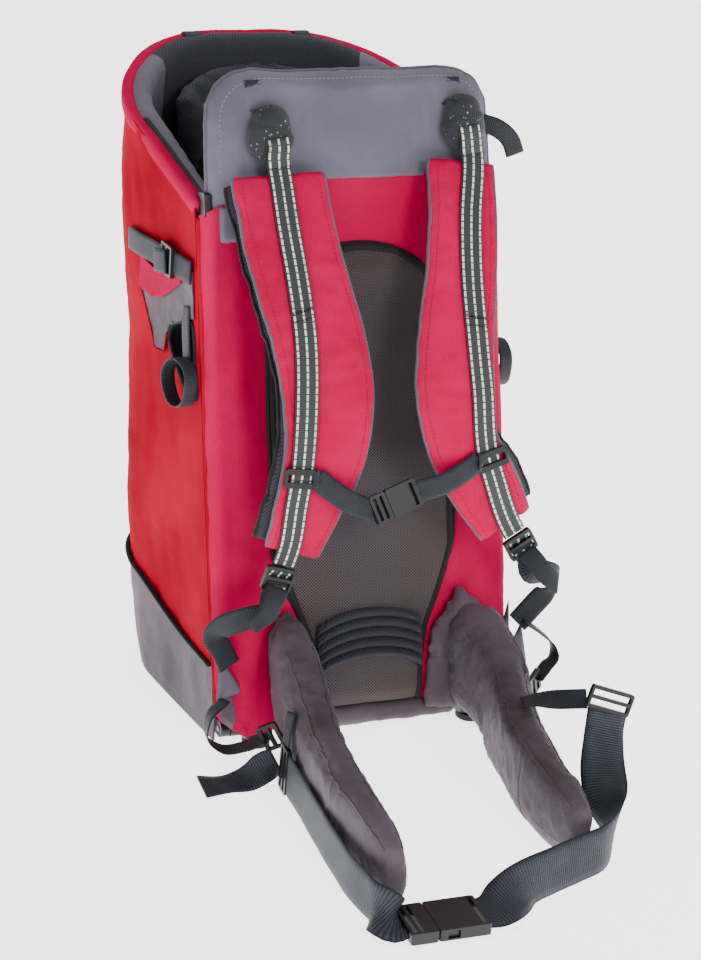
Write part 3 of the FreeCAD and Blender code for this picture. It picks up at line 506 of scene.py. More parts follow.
def fabric(name, light, dark, pitch=0.0016, rough=0.62, sheen=0.06, fade=0.5, weave=0.35, patch=9.0, gloss=0.3):
    """Woven cloth: threads, soft creases, and colour that varies with wear."""
    n = Nodes(name)
    patches = n.noise(patch, 4.0)
    fine = n.noise(900.0, 2.0)
    share = n.ramp(n.math("ADD", n.math("MULTIPLY", patches, 0.8), n.math("MULTIPLY", fine, 0.2)), 0.36, 0.64)
    color = n.mix(n.math("MULTIPLY", share, fade), light, dark)
    creases = n.bump(n.noise(34.0, 5.0, rough=0.55), 0.22, 0.004)
    threads = n.bump(weave_height(n, pitch, (0, 0, 0)), weave, 0.0003, creases)
    return n.finish(color, n.ramp(patches, 0.3, 0.7, rough - 0.06, rough + 0.08), threads,
                    Sheen_Weight=sheen, Sheen_Roughness=0.45, Specular_IOR_Level=gloss)


def mesh_fabric(name, light, dark, pitch=0.0034, tint=None):
    """Spacer mesh: slanting rows of small holes over foam."""
    n = Nodes(name)
    parts = n.add("SeparateXYZ", {"Vector": n.place()}).outputs
    turns = 2 * math.pi / pitch
    dots = n.math("MULTIPLY", n.math("SINE", n.math("MULTIPLY", parts["X"], turns)),
                  n.math("SINE", n.math("MULTIPLY", parts["Z"], turns)))
    hole = n.ramp(dots, 0.05, 0.45)
    top = n.mix(n.ramp(n.noise(6.0, 4.0), 0.38, 0.66), light, tint or light)
    color = n.mix(hole, top, dark)
    soft = n.bump(n.noise(26.0, 4.0), 0.2, 0.004)
    normal = n.bump(hole, 0.5, -0.0006, soft)
    return n.finish(color, 0.8, normal, Sheen_Weight=0.08, Sheen_Roughness=0.5, Specular_IOR_Level=0.25)


def band_coords(n):
    """Across and along of a webbing band, in metres."""
    parts = n.add("SeparateXYZ", {"Vector": n.add("UVMap", uv_map="pattern").outputs["UV"]}).outputs
    return parts["X"], parts["Y"]


def ribs(n, across, along, pitch):
    fill = n.math("SINE", n.math("MULTIPLY", along, 2 * math.pi / pitch))
    warp = n.math("SINE", n.math("MULTIPLY", across, 2 * math.pi / 0.0019))
    return n.math("ADD", fill, n.math("MULTIPLY", warp, 0.45))


def woven_band(name, light, dark, pitch=0.0021, rough=0.55, edge=None):
    """Heavy webbing with ribs across it."""
    n = Nodes(name)
    across, along = band_coords(n)
    rib = ribs(n, across, along, pitch)
    color = n.mix(n.ramp(n.math("ADD", rib, n.math("MULTIPLY", n.noise(60.0, 3.0), 2.0)), 0.1, 2.0), dark, light)
    if edge:
        far = n.math("ABSOLUTE", across)
        color = n.mix(n.ramp(far, edge - 0.0022, edge - 0.0016), color, dark)
    normal = n.bump(rib, 0.5, 0.0004, n.bump(n.noise(40.0, 3.0), 0.15, 0.003))
    return n.finish(color, rough, normal, Sheen_Weight=0.04, Sheen_Roughness=0.4, Specular_IOR_Level=0.3)


def reflective_band(name, dark, light, lines=(-0.0098, 0.0, 0.0098)):
    """Dark webbing with three dashed light lines down it."""
    n = Nodes(name)
    across, along = band_coords(n)
    rib = ribs(n, across, along, 0.0021)
    dash = n.math("FRACT", n.math("DIVIDE", along, 0.0072))
    on = n.math("MULTIPLY", n.ramp(dash, 0.02, 0.10), n.ramp(dash, 0.90, 0.82))
    marks = None
    for line in lines:
        away = n.math("ABSOLUTE", n.math("SUBTRACT", across, line))
        mark = n.math("MULTIPLY", n.ramp(away, 0.0013, 0.0009), on)
        marks = mark if marks is None else n.math("MAXIMUM", marks, mark)
    worn = n.ramp(n.noise(70.0, 4.0), 0.30, 0.46, 0.55, 1.0)
    ground = n.mix(n.ramp(rib, -1.0, 1.4), dark, tuple(c * 2.2 for c in dark[:3]) + (1.0,))
    color = n.mix(n.math("MULTIPLY", marks, worn), ground, light)
    height = n.math("ADD", rib, n.math("MULTIPLY", marks, 1.2))
    normal = n.bump(height, 0.45, 0.0004)
    return n.finish(color, n.ramp(marks, 0.0, 1.0, 0.55, 0.34), normal, Sheen_Weight=0.08, Specular_IOR_Level=0.5)


def flecked_band(name, dark, fleck):
    """Coarse cord-like webbing of the knots, with light flecks."""
    n = Nodes(name)
    across, along = band_coords(n)
    rib = ribs(n, across, along, 0.0030)
    spots = n.add("TexVoronoi", {"Vector": n.place(), "Scale": 240.0, "Randomness": 1.0}, feature="F1").outputs
    on = n.math("MULTIPLY", n.ramp(spots["Distance"], 0.30, 0.18), n.ramp(n.noise(90.0, 2.0), 0.55, 0.62))
    color = n.mix(on, n.mix(n.ramp(rib, -1.0, 1.4), dark, tuple(c * 2.6 for c in dark[:3]) + (1.0,)), fleck)
    return n.finish(color, 0.62, n.bump(rib, 0.6, 0.0006), Sheen_Weight=0.1, Specular_IOR_Level=0.4)


def moulded(name, color, worn, rough=0.38, grain=1400.0, strength=0.12):
    """Moulded plastic or rubber with fine grain and scuffs."""
    n = Nodes(name)
    scuff = n.ramp(n.noise(46.0, 6.0, rough=0.7), 0.56, 0.70)
    normal = n.bump(n.noise(grain, 2.0), strength, 0.0002)
    return n.finish(n.mix(n.math("MULTIPLY", scuff, 0.6), color, worn),
                    n.ramp(scuff, 0.0, 1.0, rough, rough + 0.18), normal, Specular_IOR_Level=0.35)


def metal(name, color, rough=0.32):
    """Anodised or plain metal with fine drawing lines."""
    n = Nodes(name)
    lines = n.noise(40.0, 5.0, where=n.place((1, 30, 30)))
    scuff = n.ramp(n.noise(30.0, 5.0), 0.55, 0.72)
    return n.finish(n.mix(scuff, color, tuple(c * 0.7 for c in color[:3]) + (1.0,)),
                    n.ramp(lines, 0.3, 0.7, rough - 0.05, rough + 0.12), n.bump(lines, 0.08, 0.0003), Metallic=1.0)


RED = fabric("red_nylon", rgb(200, 0, 76), rgb(172, 0, 52), pitch=0.0018, rough=0.70, sheen=0.0, fade=0.7,
             gloss=0.03)
# Darker copy of the red nylon for the side and rear walls: painted shade where the walls turn away from the light.
RED_SHADED = fabric("red_nylon_shaded", rgb(176, 0, 38), rgb(138, 0, 24), pitch=0.0018, rough=0.75, sheen=0.0,
                  fade=0.8, gloss=0.03)
LILAC = fabric("lilac_grey_cloth", rgb(108, 103, 120), rgb(82, 78, 92), rough=0.66, fade=0.8)
TAUPE = fabric("grey_belt_cloth", rgb(92, 79, 92), rgb(60, 49, 54), rough=0.60, fade=0.9)
LINING = fabric("grey_lining", rgb(64, 60, 68), rgb(44, 42, 46), rough=0.75)
SEAT = fabric("seat_cloth", rgb(70, 66, 74), rgb(48, 46, 52), pitch=0.0022, rough=0.8)
PIPING = fabric("grey_piping", rgb(98, 90, 102), rgb(72, 64, 74), pitch=0.0012, rough=0.65)
BINDING = fabric("black_binding", rgb(22, 22, 25), rgb(11, 11, 13), pitch=0.0012, rough=0.7, sheen=0.03)
MESH = mesh_fabric("black_spacer_mesh", rgb(76, 70, 76), rgb(28, 24, 28), tint=rgb(82, 68, 62))
MESH_DARK = mesh_fabric("black_spacer_mesh_dark", rgb(50, 50, 62), rgb(17, 17, 21))
WEB = woven_band("black_webbing", rgb(44, 50, 60), rgb(16, 19, 24))
WIDE_WEB = woven_band("wide_black_webbing", rgb(56, 62, 74), rgb(22, 25, 31), pitch=0.0026, edge=0.023)
REFLECT = reflective_band("reflective_webbing", rgb(24, 30, 33), rgb(232, 238, 214))
FLECK = flecked_band("knotted_webbing", rgb(20, 22, 27), rgb(160, 166, 158))
THREAD = moulded("grey_thread", rgb(150, 140, 146), rgb(120, 112, 118), rough=0.7)
RED_THREAD = moulded("red_thread", rgb(170, 14, 44), rgb(150, 10, 36), rough=0.6)
DARK_THREAD = moulded("dark_thread", rgb(30, 28, 32), rgb(44, 42, 46), rough=0.7)
PLASTIC = moulded("black_plastic", rgb(16, 16, 19), rgb(34, 34, 38), rough=0.38)
RUBBER = moulded("rubber", rgb(26, 26, 27), rgb(52, 50, 48), rough=0.72, grain=700.0, strength=0.3)
BOARD = moulded("board", rgb(170, 170, 164), rgb(140, 138, 132), rough=0.5)
ALUMINIUM = metal("aluminium", rgb(200, 202, 206))
STEEL = metal("steel", rgb(180, 180, 184), rough=0.28)
COATED = moulded("coated_tube", rgb(20, 20, 22), rgb(64, 64, 66), rough=0.36)

CAD_LOOKS = {
    "main_frame_tube": ALUMINIUM, "cross_bars": ALUMINIUM, "rim_hoop": COATED, "stand_frame": COATED,
    "back_board": BOARD, "hoop_brackets": PLASTIC, "foot_fitting_left": PLASTIC, "foot_fitting_right": PLASTIC,
    "foot_pads": RUBBER, "stand_feet": RUBBER, "pivot_pins": STEEL, "child_harness_buckle": PLASTIC,
    "side_lock_left": PLASTIC, "side_lock_right": PLASTIC, "lower_lock_left": PLASTIC,
    "lower_lock_right": PLASTIC, "sternum_slider_left": PLASTIC, "sternum_slider_right": PLASTIC,
    "sternum_buckle_female": PLASTIC, "sternum_buckle_male": PLASTIC, "stabiliser_locks": PLASTIC,
    "hip_buckle_female": PLASTIC, "hip_buckle_male": PLASTIC, "hip_adjusters": PLASTIC,
}
for node, look in CAD_LOOKS.items():
    NODES[node].data.materials.clear()
    NODES[node].data.materials.append(look)


# ---- camera, light and floor ----
CAM_PLACE = Vector((-1.0099, -2.2018, 1.2540)) + MOVE
CAM_AZIMUTH, CAM_HEIGHT, CAM_ROLL = math.radians(-24.69), math.radians(22.54), math.radians(5.16)
CAM_LENS = 92.87


def make_camera():
    back = Vector((math.sin(CAM_AZIMUTH) * math.cos(CAM_HEIGHT), -math.cos(CAM_AZIMUTH) * math.cos(CAM_HEIGHT),
                   math.sin(CAM_HEIGHT)))
    flat_right = Vector((math.cos(CAM_AZIMUTH), math.sin(CAM_AZIMUTH), 0.0))
    flat_up = back.cross(flat_right)
    right = flat_right * math.cos(CAM_ROLL) + flat_up * math.sin(CAM_ROLL)
    up = flat_up * math.cos(CAM_ROLL) - flat_right * math.sin(CAM_ROLL)
    data = bpy.data.cameras.new("camera")
    data.lens = CAM_LENS
    data.sensor_width = 36.0
    camera = bpy.data.objects.new("camera", data)
    camera.matrix_world = [[right.x, up.x, back.x, CAM_PLACE.x], [right.y, up.y, back.y, CAM_PLACE.y],
                           [right.z, up.z, back.z, CAM_PLACE.z], [0, 0, 0, 1]]
    camera.matrix_world.transpose()
    bpy.context.scene.collection.objects.link(camera)
    bpy.context.scene.camera = camera


def area_light(name, place, aim, size, power, color=(1, 1, 1)):
    data = bpy.data.lights.new(name, "AREA")
    data.shape = "DISK"
    data.size, data.energy, data.color = size, power, color
    lamp = bpy.data.objects.new(name, data)
    lamp.location = place
    lamp.rotation_euler = (Vector(aim) - Vector(place)).to_track_quat("-Z", "Y").to_euler()
    bpy.context.scene.collection.objects.link(lamp)


def make_studio():
    world = bpy.data.worlds.new("studio")
    world.use_nodes = True
    ground = world.node_tree.nodes["Background"]
    ground.inputs["Color"].default_value = (1.0, 1.0, 1.0, 1.0)
    ground.inputs["Strength"].default_value = 0.5
    bpy.context.scene.world = world
    area_light("key", (0.7, -2.5, 1.9), (0, 0, 0.3), 1.3, 40.0, (1.0, 0.98, 0.96))
    area_light("fill", (-2.2, -0.6, 1.6), (0, 0, 0.3), 1.8, 9.0)
    area_light("top", (0.4, 1.2, 2.4), (0, 0.1, 0.3), 1.6, 20.0)
    n = Nodes("pale_floor")
    n.finish(n.mix(n.noise(1.5), (0.90, 0.90, 0.90, 1), (0.88, 0.88, 0.88, 1)), 0.9,
             Emission_Color=(1, 1, 1, 1), Emission_Strength=2.7)
    half = 9.0
    floor = new_object("studio_floor", [(-half, -half, 0), (half, -half, 0), (half, half, 0), (-half, half, 0)],
                       [(0, 1, 2, 3)], n.mat)


make_camera()
make_studio()


# ---- placing pieces ----
def done(obj, body="pack", replaces=(), slot="red_fabric"):
    """A finished piece rides its body and stands for its CAD nodes; slot is not used."""
    if body:
        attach(obj, body)
    if replaces:
        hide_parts(*replaces)
    return obj


# ---- pack body ----
BODY_STATIONS = [(-20, 234, 80), (40, 262, 90), (85, 296, 100), (170, 314, 104), (252, 314, 104),
                 (300, 304, 102), (350, 292, 100), (430, 290, 105), (520, 300, 112), (580, 304, 120),
                 (650, 302, 132), (710, 306, 142), (780, 322, 150)]
SEAM = 252.0
SEAM_RISE, SEAM_DIP, SEAM_DROP = 18.0, 5.0, 15.0
RIM_START, RIM_SLOPE = (24.0, 570.0), 0.62
FRONT_HALF, BODY_HALF = 167.0, 185.0
TUBE_DEPTH = 12.0
YOKE_TOP, YOKE_SIDE, YOKE_HALF = 590.0, 554.0, 100.0
BASE_SEAM_Z, BASE_LOW_Z = 96.0, 3.4


def rim_height(w):
    return RIM_START[1] + RIM_SLOPE * (w - RIM_START[0])


def leg_half(v):
    return 124.0 + 16.0 * (v - 36.0) / 632.0


def body_size(v):
    heights = [row[0] for row in BODY_STATIONS]
    return (np.interp(v, heights, [row[1] for row in BODY_STATIONS]),
            np.interp(v, heights, [row[2] for row in BODY_STATIONS]))


def wall_point(s, v, inset=0.0):
    """Point of the pack's wall: s runs 0..1 from the left front edge round the rear to the right."""
    rear, corner = body_size(v)
    rear, r = rear - inset, corner - inset
    half, front = BODY_HALF - inset, 22.0
    front_half = FRONT_HALF + 0.5 - inset
    turn = rear - r
    runs = [math.hypot(turn - front, half - front_half), r * math.pi / 2, 2 * (half - r), r * math.pi / 2,
            math.hypot(turn - front, half - front_half)]
    far = s * sum(runs)
    for index, run in enumerate(runs):
        if far <= run or index == 4:
            break
        far -= run
    share = min(far / run, 1.0)
    if index == 0:
        return -front_half - (half - front_half) * share, front + (turn - front) * share
    if index == 1:
        a = share * math.pi / 2
        return -(half - r) - r * math.cos(a), turn + r * math.sin(a)
    if index == 2:
        return -(half - r) + 2 * (half - r) * share, rear
    if index == 3:
        a = share * math.pi / 2
        return (half - r) + r * math.sin(a), turn + r * math.cos(a)
    return half - (half - front_half) * share, turn - (turn - front) * share


def wall_top(s):
    """Height of the rim at a place along the wall."""
    v = 650.0
    for _ in range(6):
        v = rim_height(wall_point(s, v)[1])
    return v


def wall_at_z(s, z):
    """Pack height where the wall is z above the floor."""
    v = z + 20.0
    for _ in range(8):
        v = (z + wall_point(s, v)[1] * SIN) / COS
    return v


WALL_COLUMNS = 150
HOLE = [(34, 366), (50, 370), (64, 384), (77, 400), (89, 418), (93, 430), (86, 440), (68, 445), (50, 446),
        (37, 444), (33.5, 430), (33, 400)]


def smooth_loop(points, count):
    rows = np.array(points + points[:1], float)
    rows = np.hstack([rows, np.zeros((len(rows), 1))])
    wrapped = np.vstack([rows[-3:-1], rows, rows[1:3]])
    fine = resample(wrapped, count * 2)
    total = lengths(wrapped)
    first, last = total[2] / total[-1], total[-3] / total[-1]
    at = np.linspace(first, last, count, endpoint=False) * (len(fine) - 1)
    return np.array([[np.interp(a, range(len(fine)), fine[:, k]) for k in range(2)] for a in at])


HOLE_LOOP = smooth_loop(HOLE, 72)


def hole_distance(w, v):
    """Distance to the leg opening's edge, negative inside it, and the nearest edge point."""
    gaps = HOLE_LOOP - (w, v)
    k = int(np.argmin(np.einsum("ij,ij->i", gaps, gaps)))
    a, b = HOLE_LOOP[k], HOLE_LOOP[(k + 1) % len(HOLE_LOOP)]
    inside = False
    previous = HOLE_LOOP[-1]
    for point in HOLE_LOOP:
        if (point[1] > v) != (previous[1] > v):
            if w < (previous[0] - point[0]) * (v - point[1]) / (previous[1] - point[1]) + point[0]:
                inside = not inside
        previous = point
    near = math.hypot(*gaps[k])
    return (-near if inside else near), (a + b) / 2


def wall_sheet(name, mat, low, high, rows, inset=0.0, holes=False, around=True):
    """Sheet round the pack's sides and rear between two height functions of s."""
    verts, faces, keep = [], [], []
    columns = WALL_COLUMNS
    for i in range(rows + 1):
        for j in range(columns + 1):
            s = j / columns
            v = low(s) + (high(s) - low(s)) * i / rows
            u, w = wall_point(s, v, inset)
            inside = False
            if holes and abs(u) > 150 and 26 < w < 110:
                gap, edge = hole_distance(w, v)
                inside = gap < -1.0
                if -4.5 < gap < 2.2:
                    w, v = edge
                    u = math.copysign(abs(wall_point(0.0, v, inset)[0]) + (w - 22) * (BODY_HALF - FRONT_HALF) / 162, u)
                    inside = False
            verts.append(pack(u, w, v))
            keep.append(not inside)
    for i in range(rows):
        for j in range(columns):
            ring = [i * (columns + 1) + j, i * (columns + 1) + j + 1,
                    (i + 1) * (columns + 1) + j + 1, (i + 1) * (columns + 1) + j]
            if all(keep[k] for k in ring):
                faces.append(ring)
    obj = new_object(name, verts, faces, mat)
    shape = bmesh.new()
    shape.from_mesh(obj.data)
    bmesh.ops.remove_doubles(shape, verts=shape.verts, dist=0.0004)
    loose = [vert for vert in shape.verts if not vert.link_faces]
    bmesh.ops.delete(shape, geom=loose, context="VERTS")
    shape.to_mesh(obj.data)
    shape.free()
    return obj


def flip(obj):
    shape = bmesh.new()
    shape.from_mesh(obj.data)
    bmesh.ops.reverse_faces(shape, faces=shape.faces)
    shape.to_mesh(obj.data)
    shape.free()
    return obj


def wall_path(low_high, count, inset=0.0, first=0.0, last=1.0):
    """Points along the wall at a height function of s."""
    points = []
    for s in np.linspace(first, last, count):
        v = low_high(s)
        u, w = wall_point(s, v, inset)
        points.append(pack(u, w, v))
    return np.array(points)


def side_hold(p):
    """Wrinkles fade out near the front seam."""
    return min(1.0, max(0.1, (p - pack(0, 26, 0)).dot(AXES[1]) / 0.05))


def seam_hold(p):
    """Wrinkles fade out near the front seam and near the seam under the compartment."""
    return side_hold(p) * min(1.0, abs((p - pack(0, 0, SEAM)).dot(UP)) / 0.03)


def make_compartment():
    # the compartment's walls take the darker red nylon: painted shade on the sides and rear
    shell = wall_sheet("compartment_wall", RED_SHADED, lambda s: SEAM, wall_top, 62, holes=True)
    wrinkles(shell, 0.075, 0.0056, stretch=(1, 1, 2.6), seed=1, soft=0.65, where=seam_hold)
    wrinkles(shell, 0.030, 0.0014, stretch=(1.5, 1.5, 1.0), seed=2, soft=0.4, where=seam_hold)
    solid(flip(shell), 0.0018)
    lining = wall_sheet("compartment_lining", LINING, lambda s: SEAM + 8, lambda s: wall_top(s) - 3, 40,
                        inset=7.0, holes=True)
    wrinkles(lining, 0.06, 0.0022, stretch=(1, 1, 2), seed=3)
    solid(lining, 0.0012)
    front = [[pack(u, 30.0, v) for u in np.linspace(-146, 146, 26)] for v in np.linspace(SEAM + 8, 592, 36)]
    front_lining = solid(wrinkles(grid("compartment_front_lining", front, LINING), 0.06, 0.002, seed=4), 0.0012)
    floor = []
    for ring in np.linspace(0.02, 1.0, 12):
        row = []
        for s in np.linspace(0, 1, 60, endpoint=False):
            a = s * 2 * math.pi
            x, y = math.cos(a), math.sin(a)
            k = 1.0 / max(abs(x) ** 4 + abs(y) ** 4, 1e-6) ** 0.25
            row.append(pack(x * k * ring * 168, 164 + y * k * ring * 130, SEAM + 4 - 6 * (1 - ring ** 2)))
        floor.append(row)
    floor = solid(grid("compartment_floor", floor, LINING, around=True), 0.002)
    done(shell, replaces=["child_compartment"])
    done(lining, slot="seat_fabric")
    done(front_lining, slot="seat_fabric")
    done(floor, slot="seat_fabric")
    make_rim()
    make_hole_trim()


SLOPE_END = 0.17        # share of the wall where the rim's straight slope ends
REST_START = 0.33       # share of the wall where the headrest's mesh starts
RIM_FACING = [(6, 4), (14, 3), (22, 5), (29, 10), (31, 20), (28, 40), (24, 70), (16, 110)]


def make_rim():
    """Padded red roll round the rim, black binding on its slopes and a facing over the hoop inside."""
    path = wall_path(lambda s: wall_top(s) - 8.0, 130, 5.5)
    count = len(path)
    way = tangents(path)
    rings = []
    for i in range(count):
        out = unit(np.cross(way[i], np.array(UP)))
        up = unit(np.cross(out, way[i])) * -1.0
        if up.dot(np.array(UP)) < 0:
            up = -up
        swell = 1.0 + 0.07 * noise.noise(Vector((i * 0.11, 2.0, 0.0)))
        ring = []
        for a in np.linspace(0, 2 * math.pi, 16, endpoint=False):
            c, d = math.cos(a), math.sin(a)
            ring.append(path[i] + out * (abs(c) ** 0.8 * math.copysign(1, c) * 0.0072 * swell)
                        + up * (abs(d) ** 0.8 * math.copysign(1, d) * 0.0100 * swell))
        rings.append(ring)
    roll = rounder(wrinkles(loft("rim_roll", rings, RED), 0.035, 0.0012, seed=6))
    done(roll)
    tree = surface_of(roll)
    for name, first, last in (("left", 0.0, SLOPE_END), ("right", 1 - SLOPE_END, 1.0)):
        inner = wall_path(lambda s: wall_top(s) - 2.0, 60, 13.0, first, last)
        binding = on_surface(tree, inner, 0.0006)
        done(round_cord("rim_binding_" + name, binding, 0.0056, BINDING, flat=0.6), slot="black_webbing")
    for name, first, last, look in (("left", 0.02, REST_START, LILAC), ("rear", REST_START, 1 - REST_START, MESH_DARK),
                                    ("right", 1 - REST_START, 0.98, LILAC)):
        rows = []
        for inset, drop in RIM_FACING:
            rows.append(wall_path(lambda s: wall_top(s) - drop, 90, inset, first, last))
        facing = solid(wrinkles(grid("rim_facing_" + name, rows, look), 0.04, 0.0012, seed=7), 0.0012)
        done(facing, slot="grey_fabric" if look is LILAC else "black_mesh")
    seam = on_surface(tree, wall_path(lambda s: wall_top(s) - 16.0, 130, -6.0), 0.0)
    done(stitches("rim_stitching", seam, on_out(seam), RED_THREAD))


def on_out(points):
    """Normals that look away from the pack's middle line."""
    core = np.array(pack(0, 150, 400))
    up = np.array(UP)
    away = points - core
    return unit(away - up * (away @ up)[:, None])


SHADE_SLEEVE_DEPTH = 42.0


def make_hole_trim():
    """Black binding round each leg opening, and a black sleeve leading inwards from it: a dark sheet that paints the
    shade inside the opening.
    """
    for side, name in ((-1, "left"), (1, "right")):
        loop = []
        for w, v in HOLE_LOOP:
            half = FRONT_HALF + 0.5 + (w - 22) * (BODY_HALF - FRONT_HALF) / 162
            loop.append(pack(side * (half - 1.0), w, v))
        done(round_cord("leg_hole_binding_" + name, loop, 0.0036, BINDING, closed=True, flat=0.8),
             slot="black_webbing")
        # painted shade: the black sleeve stands in for the shade inside the leg opening
        rows = []
        for share in np.linspace(0, 1, 8):
            rows.append([pack(side * (FRONT_HALF - 1.0 + (w - 22) * (BODY_HALF - FRONT_HALF) / 162
                                      - SHADE_SLEEVE_DEPTH * share), w, v) for w, v in HOLE_LOOP])
        done(solid(grid("leg_hole_shade_sleeve_" + name, rows, BINDING, around=True), 0.0012), slot="black_mesh")


def panel_depth(u, v):
    """Depth of the red front face: it bulges over the tube and the foot, and rolls back at its edge."""
    half = FRONT_HALF + 0.5
    edge = max(0.0, half - abs(u))
    over_tube = -3.2 * math.exp(-((abs(u) - leg_half(v)) / 13.0) ** 2)
    dip = 2.4 * math.exp(-((abs(u) - (leg_half(v) - 26)) / 14.0) ** 2)
    low = min(1.0, max(0.0, (92 - v) / 24.0))
    over_foot = -9.0 * low * math.exp(-(max(abs(abs(u) - 123.5) - 16.0, 0.0) / 8.0) ** 2)
    roll = 21.5 * (1 - math.sqrt(1 - (1 - min(edge, 13.0) / 13.0) ** 2))
    return over_tube * (1 - low) + dip * (1 - low) + over_foot + roll


OPENING = [(-58, 30), (-68, 110), (-102, 200), (-102, 300), (-102, 400), (-99, 452), (-78, 492), (-44, 514),
           (0, 521), (44, 514), (78, 492), (99, 452), (102, 400), (102, 300), (102, 200), (68, 110), (58, 30)]
PANEL_EDGE = [(-142, 17), (-166.5, 34), (-167, 110), (-167, 200), (-167, 300), (-167, 400), (-167, 480),
              (-167, YOKE_SIDE), (-YOKE_HALF, YOKE_TOP), (0, YOKE_TOP), (YOKE_HALF, YOKE_TOP), (167, YOKE_SIDE),
              (167, 480), (167, 400),
              (167, 300), (167, 200), (167, 110), (166.5, 34), (142, 17)]


def even(points, count):
    """The same broken line with evenly spaced points."""
    points = np.array(points, float)
    along = lengths(points)
    at = np.linspace(0, along[-1], count)
    return np.stack([np.interp(at, along, points[:, k]) for k in range(points.shape[1])], axis=1)


def make_front_panel():
    steps, across = 170, 22
    inner = resample(np.hstack([OPENING, np.zeros((len(OPENING), 1))]), steps)[:, :2]
    outer = even(PANEL_EDGE, steps)
    rows = []
    for t in np.linspace(0, 1, across):
        line = inner + (outer - inner) * t
        rows.append([pack(u, panel_depth(u, v), v) for u, v in line])
    panel = grid("front_face", rows, RED)
    hold = pack(0, 0, 34)

    def loose(p):
        v = (p - hold).dot(UP)
        return min(1.0, max(0.25, v / 0.08))

    wrinkles(panel, 0.085, 0.0036, stretch=(1, 1, 2.4), seed=8, soft=0.6, where=loose)
    wrinkles(panel, 0.028, 0.0010, stretch=(1.6, 1, 1.0), seed=9, soft=0.4)
    if panel.data.polygons[0].normal.dot(OUT) < 0:
        flip(panel)
    solid(panel, 0.002)
    tree = surface_of(panel)
    done(panel, replaces=["front_panel"])
    for side, name in ((-1, "left"), (1, "right")):
        seam = [pack(side * (FRONT_HALF + 1), 20, v) for v in np.linspace(44, YOKE_SIDE - 2, 90)]
        seam = on_surface(tree, seam, 0.0)
        done(round_cord("front_seam_" + name, seam, 0.0026, RED_SHADED))
    # bound edge of the opening for the back pad
    bound = on_surface(tree, [pack(u, 0, v) for u, v in inner], 0.0004)
    done(round_cord("opening_binding", bound, 0.0026, BINDING), slot="black_webbing")


def make_corner_patches():
    """Grey corners of the front face, where the base wraps round to the front."""
    for side, name in ((-1, "left"), (1, "right")):
        outline = [(side * u, v) for u, v in ((168, 132), (161, 112), (147, 30), (152, 22), (167, 36))]
        patch = pillow("front_corner_patch_" + name, rounded_outline(outline, [4] * 5, 4), -2.6, 1.0, TAUPE, 5, 8.0)
        done(patch, slot="grey_fabric")


def base_seam(s):
    """Height of the seam between the red bag and its grey base: a slow wave, higher at the rear."""
    share = math.sin(math.pi * min(max(s, 0.0), 1.0))
    return wall_at_z(s, BASE_SEAM_Z + SEAM_RISE * share ** 2 - SEAM_DIP * math.sin(2 * math.pi * min(share, 1.0))
                     - SEAM_DROP * (1 - share) ** 3)


def make_bag():
    """Red lower bag and grey base."""
    seam_top = lambda s: SEAM + 0.3
    seam_low = base_seam
    # the lower bag's walls take the darker red nylon too: painted shade on the sides and rear
    bag = wall_sheet("bag_wall", RED_SHADED, seam_low, seam_top, 34)
    wrinkles(bag, 0.08, 0.0045, stretch=(1, 1, 2.2), seed=11, soft=0.65, where=seam_hold)
    wrinkles(bag, 0.03, 0.0012, seed=12, soft=0.4, where=seam_hold)
    solid(flip(bag), 0.0018)
    skirt = wall_sheet("base_wall", TAUPE, lambda s: wall_at_z(s, BASE_LOW_Z), seam_low, 14)
    wrinkles(skirt, 0.05, 0.0030, stretch=(1, 1, 1.6), seed=13, soft=0.5, where=base_hold)
    solid(flip(skirt), 0.0022)
    base_floor = []
    for ring in np.linspace(0.02, 1.0, 10):
        row = []
        for s in np.linspace(0, 1, 72, endpoint=False):
            z = 31.0
            k = s * 1.0
            v = wall_at_z(k, z)
            u, w = wall_point(k, v, 3.0)
            centre = (0.0, 120.0)
            row.append(pack(centre[0] + (u - centre[0]) * ring, centre[1] + (w - centre[1]) * ring,
                            (z + (centre[1] + (w - centre[1]) * ring) * SIN) / COS))
        base_floor.append(row)
    base_floor = solid(grid("base_floor", base_floor, TAUPE), 0.002)
    seam = wall_path(seam_low, 130, -1.5)
    seam_tape = round_cord("base_seam_piping", seam, 0.0034, BINDING, flat=0.7)
    fold = dict(joint="stand_fold", axis=tuple(UP), anchor=tuple(pack(0, 0, SEAM)), keep=0.3)
    for obj, nodes, look in ((bag, ["lower_bag"], "red_fabric"), (skirt, ["bag_base"], "grey_fabric"),
                             (base_floor, [], "grey_fabric"), (seam_tape, [], "grey_fabric")):
        done(obj, replaces=nodes, slot=look)
        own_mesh(obj)


def base_hold(p):
    return min(1.0, max(0.0, (p.z - 0.006) / 0.02))


# ---- front: back pad, lumbar ridges, hem, head panel ----
def opening_half(v, shrink=0.0):
    """Half width of the opening for the back pad at a height."""
    left = OPENING[:9]
    heights = [point[1] for point in left]
    return np.interp(v, heights, [-point[0] for point in left]) - shrink


